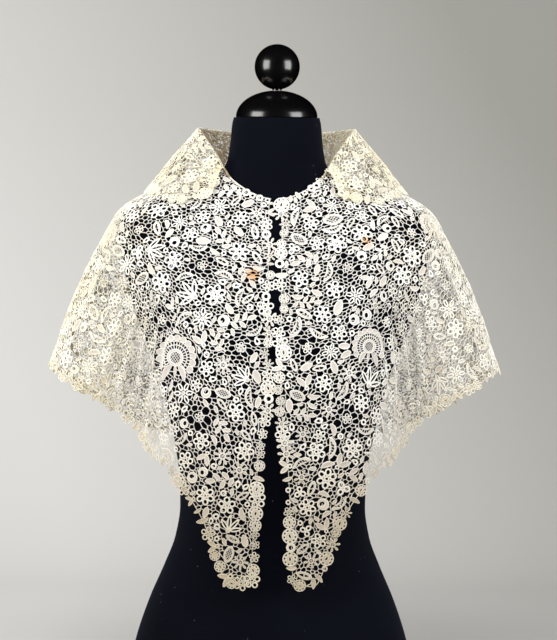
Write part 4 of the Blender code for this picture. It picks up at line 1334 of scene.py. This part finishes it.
# Dress form, cap and ball, smoother than their solids
form = {
    "columns": ("height", "halfWidth", "front", "back", "squareness"),
    "rows": (
        (0.000, 0.1770, 0.116, 0.120, 2.20), (0.040, 0.1680, 0.114, 0.118, 2.20),
        (0.088, 0.1520, 0.106, 0.110, 2.15), (0.130, 0.1340, 0.097, 0.099, 2.10),
        (0.165, 0.1210, 0.089, 0.088, 2.05), (0.202, 0.1155, 0.085, 0.081, 2.00),
        (0.240, 0.1170, 0.088, 0.083, 2.00), (0.290, 0.1250, 0.098, 0.091, 2.05),
        (0.340, 0.1370, 0.110, 0.099, 2.10), (0.390, 0.1530, 0.119, 0.105, 2.20),
        (0.430, 0.1690, 0.121, 0.108, 2.30), (0.475, 0.1830, 0.114, 0.108, 2.35),
        (0.515, 0.1920, 0.101, 0.103, 2.35), (0.545, 0.1960, 0.089, 0.094, 2.35),
        (0.561, 0.1935, 0.081, 0.086, 2.35), (0.571, 0.1820, 0.076, 0.081, 2.30),
        (0.580, 0.1610, 0.072, 0.077, 2.25), (0.590, 0.1330, 0.067, 0.073, 2.20),
        (0.602, 0.1020, 0.063, 0.069, 2.10), (0.615, 0.0770, 0.059, 0.064, 2.05),
        (0.631, 0.0620, 0.056, 0.059, 2.00), (0.655, 0.0578, 0.054, 0.056, 2.00),
        (0.680, 0.0555, 0.052, 0.054, 2.00), (0.688, 0.0535, 0.051, 0.052, 2.00),
    ),
    "around": 120, "levels": 110, "shoulderLevels": (0.555, 0.635, 34),
    "tilt": math.radians(5.5), "tiltStarts": 0.640, "neckTop": 0.688, "sharp": 60,
}


def makeForm(finish):
    at = columnsOf(form)
    heights = np.linspace(0.0, form["neckTop"], form["levels"])
    heights = np.unique(np.concatenate((heights, np.linspace(*form["shoulderLevels"]))))
    section = {name: smoothAt(at["height"], at[name], heights) for name in form["columns"][1:]}
    turns = np.arange(form["around"]) / form["around"] * math.tau
    power = 2 / section["squareness"][:, None]
    side, ahead = np.sin(turns)[None], np.cos(turns)[None]
    x = section["halfWidth"][:, None] * np.sign(side) * np.abs(side) ** power
    depth = np.where(ahead > 0, section["front"][:, None], section["back"][:, None])
    y = -depth * np.sign(ahead) * np.abs(ahead) ** power
    span = form["neckTop"] - form["tiltStarts"]
    lean = math.tan(form["tilt"]) * np.clip((heights - form["tiltStarts"]) / span, 0, None)[:, None]
    points = np.stack((x, y, heights[:, None] + y * lean), axis=-1).reshape(-1, 3)
    faces = closedRings(len(heights), form["around"])
    made = meshObject("form_body", [(points, faces, np.ones((len(points), 3)))], finish, form["sharp"])
    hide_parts("dress_form")


jerseyFinish = {
    "cloth": (0.0008, 0.0011, 0.0032, 1.0), "worn": (0.0018, 0.0024, 0.0056, 1.0),
    "lint": (0.20, 0.20, 0.22, 1.0), "wear": {"Scale": 7.0, "Detail": 2.0}, "specks": {"Scale": 60.0},
    "wearRamp": ((0.3, 0.0), (0.7, 1.0)), "lintRamp": ((0.035, 0.28), (0.055, 0.0)),
    "knit": {"Scale": 330.0, "Distortion": 1.2, "Detail": 1.0}, "fuzz": {"Scale": 900.0, "Detail": 2.0},
    "relief": {"Strength": 0.25, "Distance": 0.0003},
    "shader": {"Roughness": 0.92, "Specular IOR Level": 0.08, "Sheen Weight": 0.035,
               "Sheen Tint": (0.5, 0.6, 0.9, 1.0)},
}


def jerseyMaterial():
    made, tree, shader = nodesFor("blackJersey", jerseyFinish["shader"])
    wear = ramp(tree, texture(tree, "Noise", jerseyFinish["wear"]), *jerseyFinish["wearRamp"])
    specks = texture(tree, "Voronoi", jerseyFinish["specks"], "Distance")
    lint = ramp(tree, specks, *jerseyFinish["lintRamp"])
    shade = mixed(tree, wear, jerseyFinish["cloth"], jerseyFinish["worn"])
    feed(tree, shader, {"Base Color": mixed(tree, lint, shade, jerseyFinish["lint"])})
    knit, fuzz = texture(tree, "Wave", jerseyFinish["knit"]), texture(tree, "Noise", jerseyFinish["fuzz"])
    giveRelief(tree, shader, knit, fuzz, jerseyFinish["relief"])
    return made


# first and last are where the rounded profiles start and stop, as angles from the top
cap = {"radius": 0.0510, "height": 0.0330, "seat": 0.0070, "gap": 0.0004, "lip": 0.00034, "round": 0.0003,
       "bore": 0.020, "top": 0.0005, "first": math.pi / 2 - 0.012, "levels": 44, "around": 96}
ball = {"radius": 0.0282, "stem": 0.0060, "stemLength": 0.0015, "bore": 0.001, "last": 0.02, "levels": 60}


def turnedPiece(name, profile, place, replaced, finish):
    # a turned piece from its profile, bottom to top, that leans with the neck
    profile, steps = np.array(profile), cap["around"]
    turns = np.arange(steps) / steps * math.tau
    rings = np.stack((profile[:, :1] * np.cos(turns), profile[:, :1] * np.sin(turns),
                      np.repeat(profile[:, 1:], steps, axis=1)), axis=-1).reshape(-1, 3)
    c, s = math.cos(form["tilt"]), math.sin(form["tilt"])
    points = rings @ np.array(((1, 0, 0), (0, c, -s), (0, s, c))).T + place
    faces = closedRings(len(profile), steps)
    made = meshObject(name, [(points, faces, np.ones((len(points), 3)))], finish, form["sharp"])
    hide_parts(replaced)


def makeCap(finish):
    start = math.asin(cap["seat"] / cap["radius"])
    top = cap["height"] / math.cos(start)
    turns = np.linspace(cap["first"], start, cap["levels"])
    profile = [(cap["bore"], -cap["lip"]), (cap["radius"] - cap["round"], -cap["lip"])]
    profile += [(cap["radius"] * math.sin(t), top * math.cos(t)) for t in turns]
    profile.append((cap["top"], cap["height"]))
    place = np.array((0.0, 0.0, form["neckTop"] + cap["gap"]))
    turnedPiece("cap_dome", profile, place, "neck_cap", finish)


def makeBall(finish):
    start = math.asin(ball["stem"] / ball["radius"])
    drop = ball["radius"] * math.cos(start)
    foot = -drop - ball["stemLength"]
    turns = np.linspace(math.pi - start, ball["last"], ball["levels"])
    profile = [(ball["bore"], foot), (ball["stem"], foot)]
    profile += [(ball["radius"] * math.sin(t), ball["radius"] * math.cos(t)) for t in turns]
    rise = cap["height"] + cap["gap"] + ball["stemLength"] + drop
    up = np.array((0.0, -math.sin(form["tilt"]), math.cos(form["tilt"])))
    place = np.array((0.0, 0.0, form["neckTop"] + cap["gap"])) + up * rise
    turnedPiece("ball_top", profile, place, "ball_finial", finish)


lacquerFinish = {
    "deep": (0.0010, 0.0010, 0.0016, 1.0), "hazy": (0.0030, 0.0026, 0.0026, 1.0),
    "haze": {"Scale": 45.0, "Detail": 4.0}, "roughness": ((0.3, 0.18), (0.8, 0.24)), "shader": {"IOR": 1.75},
}


def lacquerMaterial():
    made, tree, shader = nodesFor("blackLacquer", lacquerFinish["shader"])
    haze = texture(tree, "Noise", lacquerFinish["haze"])
    feed(tree, shader, {"Base Color": mixed(tree, haze, lacquerFinish["deep"], lacquerFinish["hazy"]),
                        "Roughness": ramp(tree, haze, *lacquerFinish["roughness"])})
    return made


makeForm(jerseyMaterial())
lacquer = lacquerMaterial()
makeCap(lacquer)
makeBall(lacquer)

# Camera, lights and the pale sweep behind
view = {"place": (0.0049, -2.6, 0.435), "turn": (math.pi / 2, -0.0105, 0.0), "lens": 117.0, "sensor": 36.0}
lights = {
    "left_box": {"place": (-1.95, -1.25, 1.00), "aim": (0.0, 0.0, 0.62), "size": (1.4, 1.6), "power": 45.0,
                 "colour": (1.0, 0.985, 0.955)},
    "right_box": {"place": (1.95, -1.25, 0.97), "aim": (0.0, 0.0, 0.62), "size": (1.4, 1.6), "power": 42.0,
                  "colour": (0.99, 0.985, 0.99)},
    "top_fill": {"place": (-0.2, -1.3, 2.0), "aim": (0.0, 0.0, 0.70), "size": (1.4, 0.9), "power": 28.0,
                 "colour": (1.0, 0.99, 0.97), "hidden": True},
    "back_light": {"place": (0.0, 1.25, 1.75), "aim": (0.0, 0.0, 0.50), "size": (1.6, 0.5), "power": 6.0,
                   "colour": (1.0, 0.985, 0.96), "hidden": True},
    "wall_light": {"place": (-0.9, 0.4, 1.5), "aim": (-0.3, 1.7, 0.5), "size": (1.2, 1.2), "power": 3.0,
                   "colour": (1.0, 1.0, 0.98), "hidden": True},
}
world = {"colour": (0.96, 0.97, 1.0, 1.0), "strength": 0.38}
# light and dark are the two ends of painted light and shade across the sweep
sweep = {"near": -4.0, "wall": 1.7, "radius": 0.9, "height": 3.2, "halfWidth": 8.0, "steps": 24,
         "drop": 0.0005, "light": (0.575, 0.567, 0.550, 1.0), "dark": (0.300, 0.296, 0.274, 1.0),
         "across": (0.74, 0.0, 0.46), "spread": {"From Min": -0.24, "From Max": 0.76},
         "shader": {"Roughness": 0.95, "Specular IOR Level": 0.0}}


def makeCamera():
    data = bpy.data.cameras.new("photo_camera")
    data.lens, data.sensor_width = view["lens"], view["sensor"]
    camera = bpy.data.objects.new("photo_camera", data)
    camera.location, camera.rotation_euler = view["place"], view["turn"]
    bpy.context.scene.collection.objects.link(camera)
    bpy.context.scene.camera = camera


def makeLight(name, light):
    data = bpy.data.lights.new(name, "AREA")
    data.shape, (data.size, data.size_y) = "RECTANGLE", light["size"]
    data.energy, data.color = light["power"], light["colour"]
    lamp = bpy.data.objects.new(name, data)
    lamp.location = light["place"]
    way = Vector(light["aim"]) - Vector(light["place"])
    lamp.rotation_euler = way.to_track_quat("-Z", "Y").to_euler()
    lamp.visible_glossy = not light.get("hidden", False)
    bpy.context.scene.collection.objects.link(lamp)


def sweepMaterial():
    # painted light and shade: lighter at the left, darker at the right and the top, where less of the lamps'
    # light falls
    made, tree, shader = nodesFor("paleSweep", sweep["shader"])
    across = {0: placeIn(tree), 1: sweep["across"]}
    across = node(tree, "VectorMath", across, operation="DOT_PRODUCT").outputs["Value"]
    spread = node(tree, "MapRange", {"Value": across, **sweep["spread"]}).outputs["Result"]
    # seen from its back, the backdrop is clear, so that it never hides the cape
    behind = tree.nodes.new("ShaderNodeNewGeometry").outputs["Backfacing"]
    feed(tree, shader, {"Base Color": mixed(tree, spread, sweep["light"], sweep["dark"]),
                        "Alpha": ramp(tree, behind, (0.0, 1.0), (1.0, 0.0))})
    return made


def makeSweep():
    # floor and backdrop in one bent sheet
    radius, drop = sweep["radius"], sweep["drop"]
    profile = [(sweep["near"], -drop)]
    for t in np.linspace(0, math.pi / 2, sweep["steps"]):
        profile.append((sweep["wall"] - radius * (1 - math.sin(t)), radius * (1 - math.cos(t)) - drop))
    profile.append((sweep["wall"], sweep["height"]))
    points = [(x, y, z) for y, z in profile for x in (-sweep["halfWidth"], sweep["halfWidth"])]
    mesh = bpy.data.meshes.new("sweep")
    mesh.from_pydata(points, [], [(2 * k, 2 * k + 1, 2 * k + 3, 2 * k + 2) for k in range(len(profile) - 1)])
    mesh.shade_smooth()
    mesh.materials.append(sweepMaterial())
    floor = bpy.data.objects.new("sweep", mesh)
    floor.visible_glossy = False
    bpy.context.scene.collection.objects.link(floor)


def makeWorld():
    made = bpy.data.worlds.new("studio")
    bpy.context.scene.world = made
    made.use_nodes = True
    background = made.node_tree.nodes["Background"]
    background.inputs["Color"].default_value = world["colour"]
    background.inputs["Strength"].default_value = world["strength"]
    made.cycles_visibility.glossy = False


makeCamera()
for name, light in lights.items():
    makeLight(name, light)
makeSweep()
makeWorld()
bpy.context.scene.view_settings.view_transform = "Standard"
print("stage set")
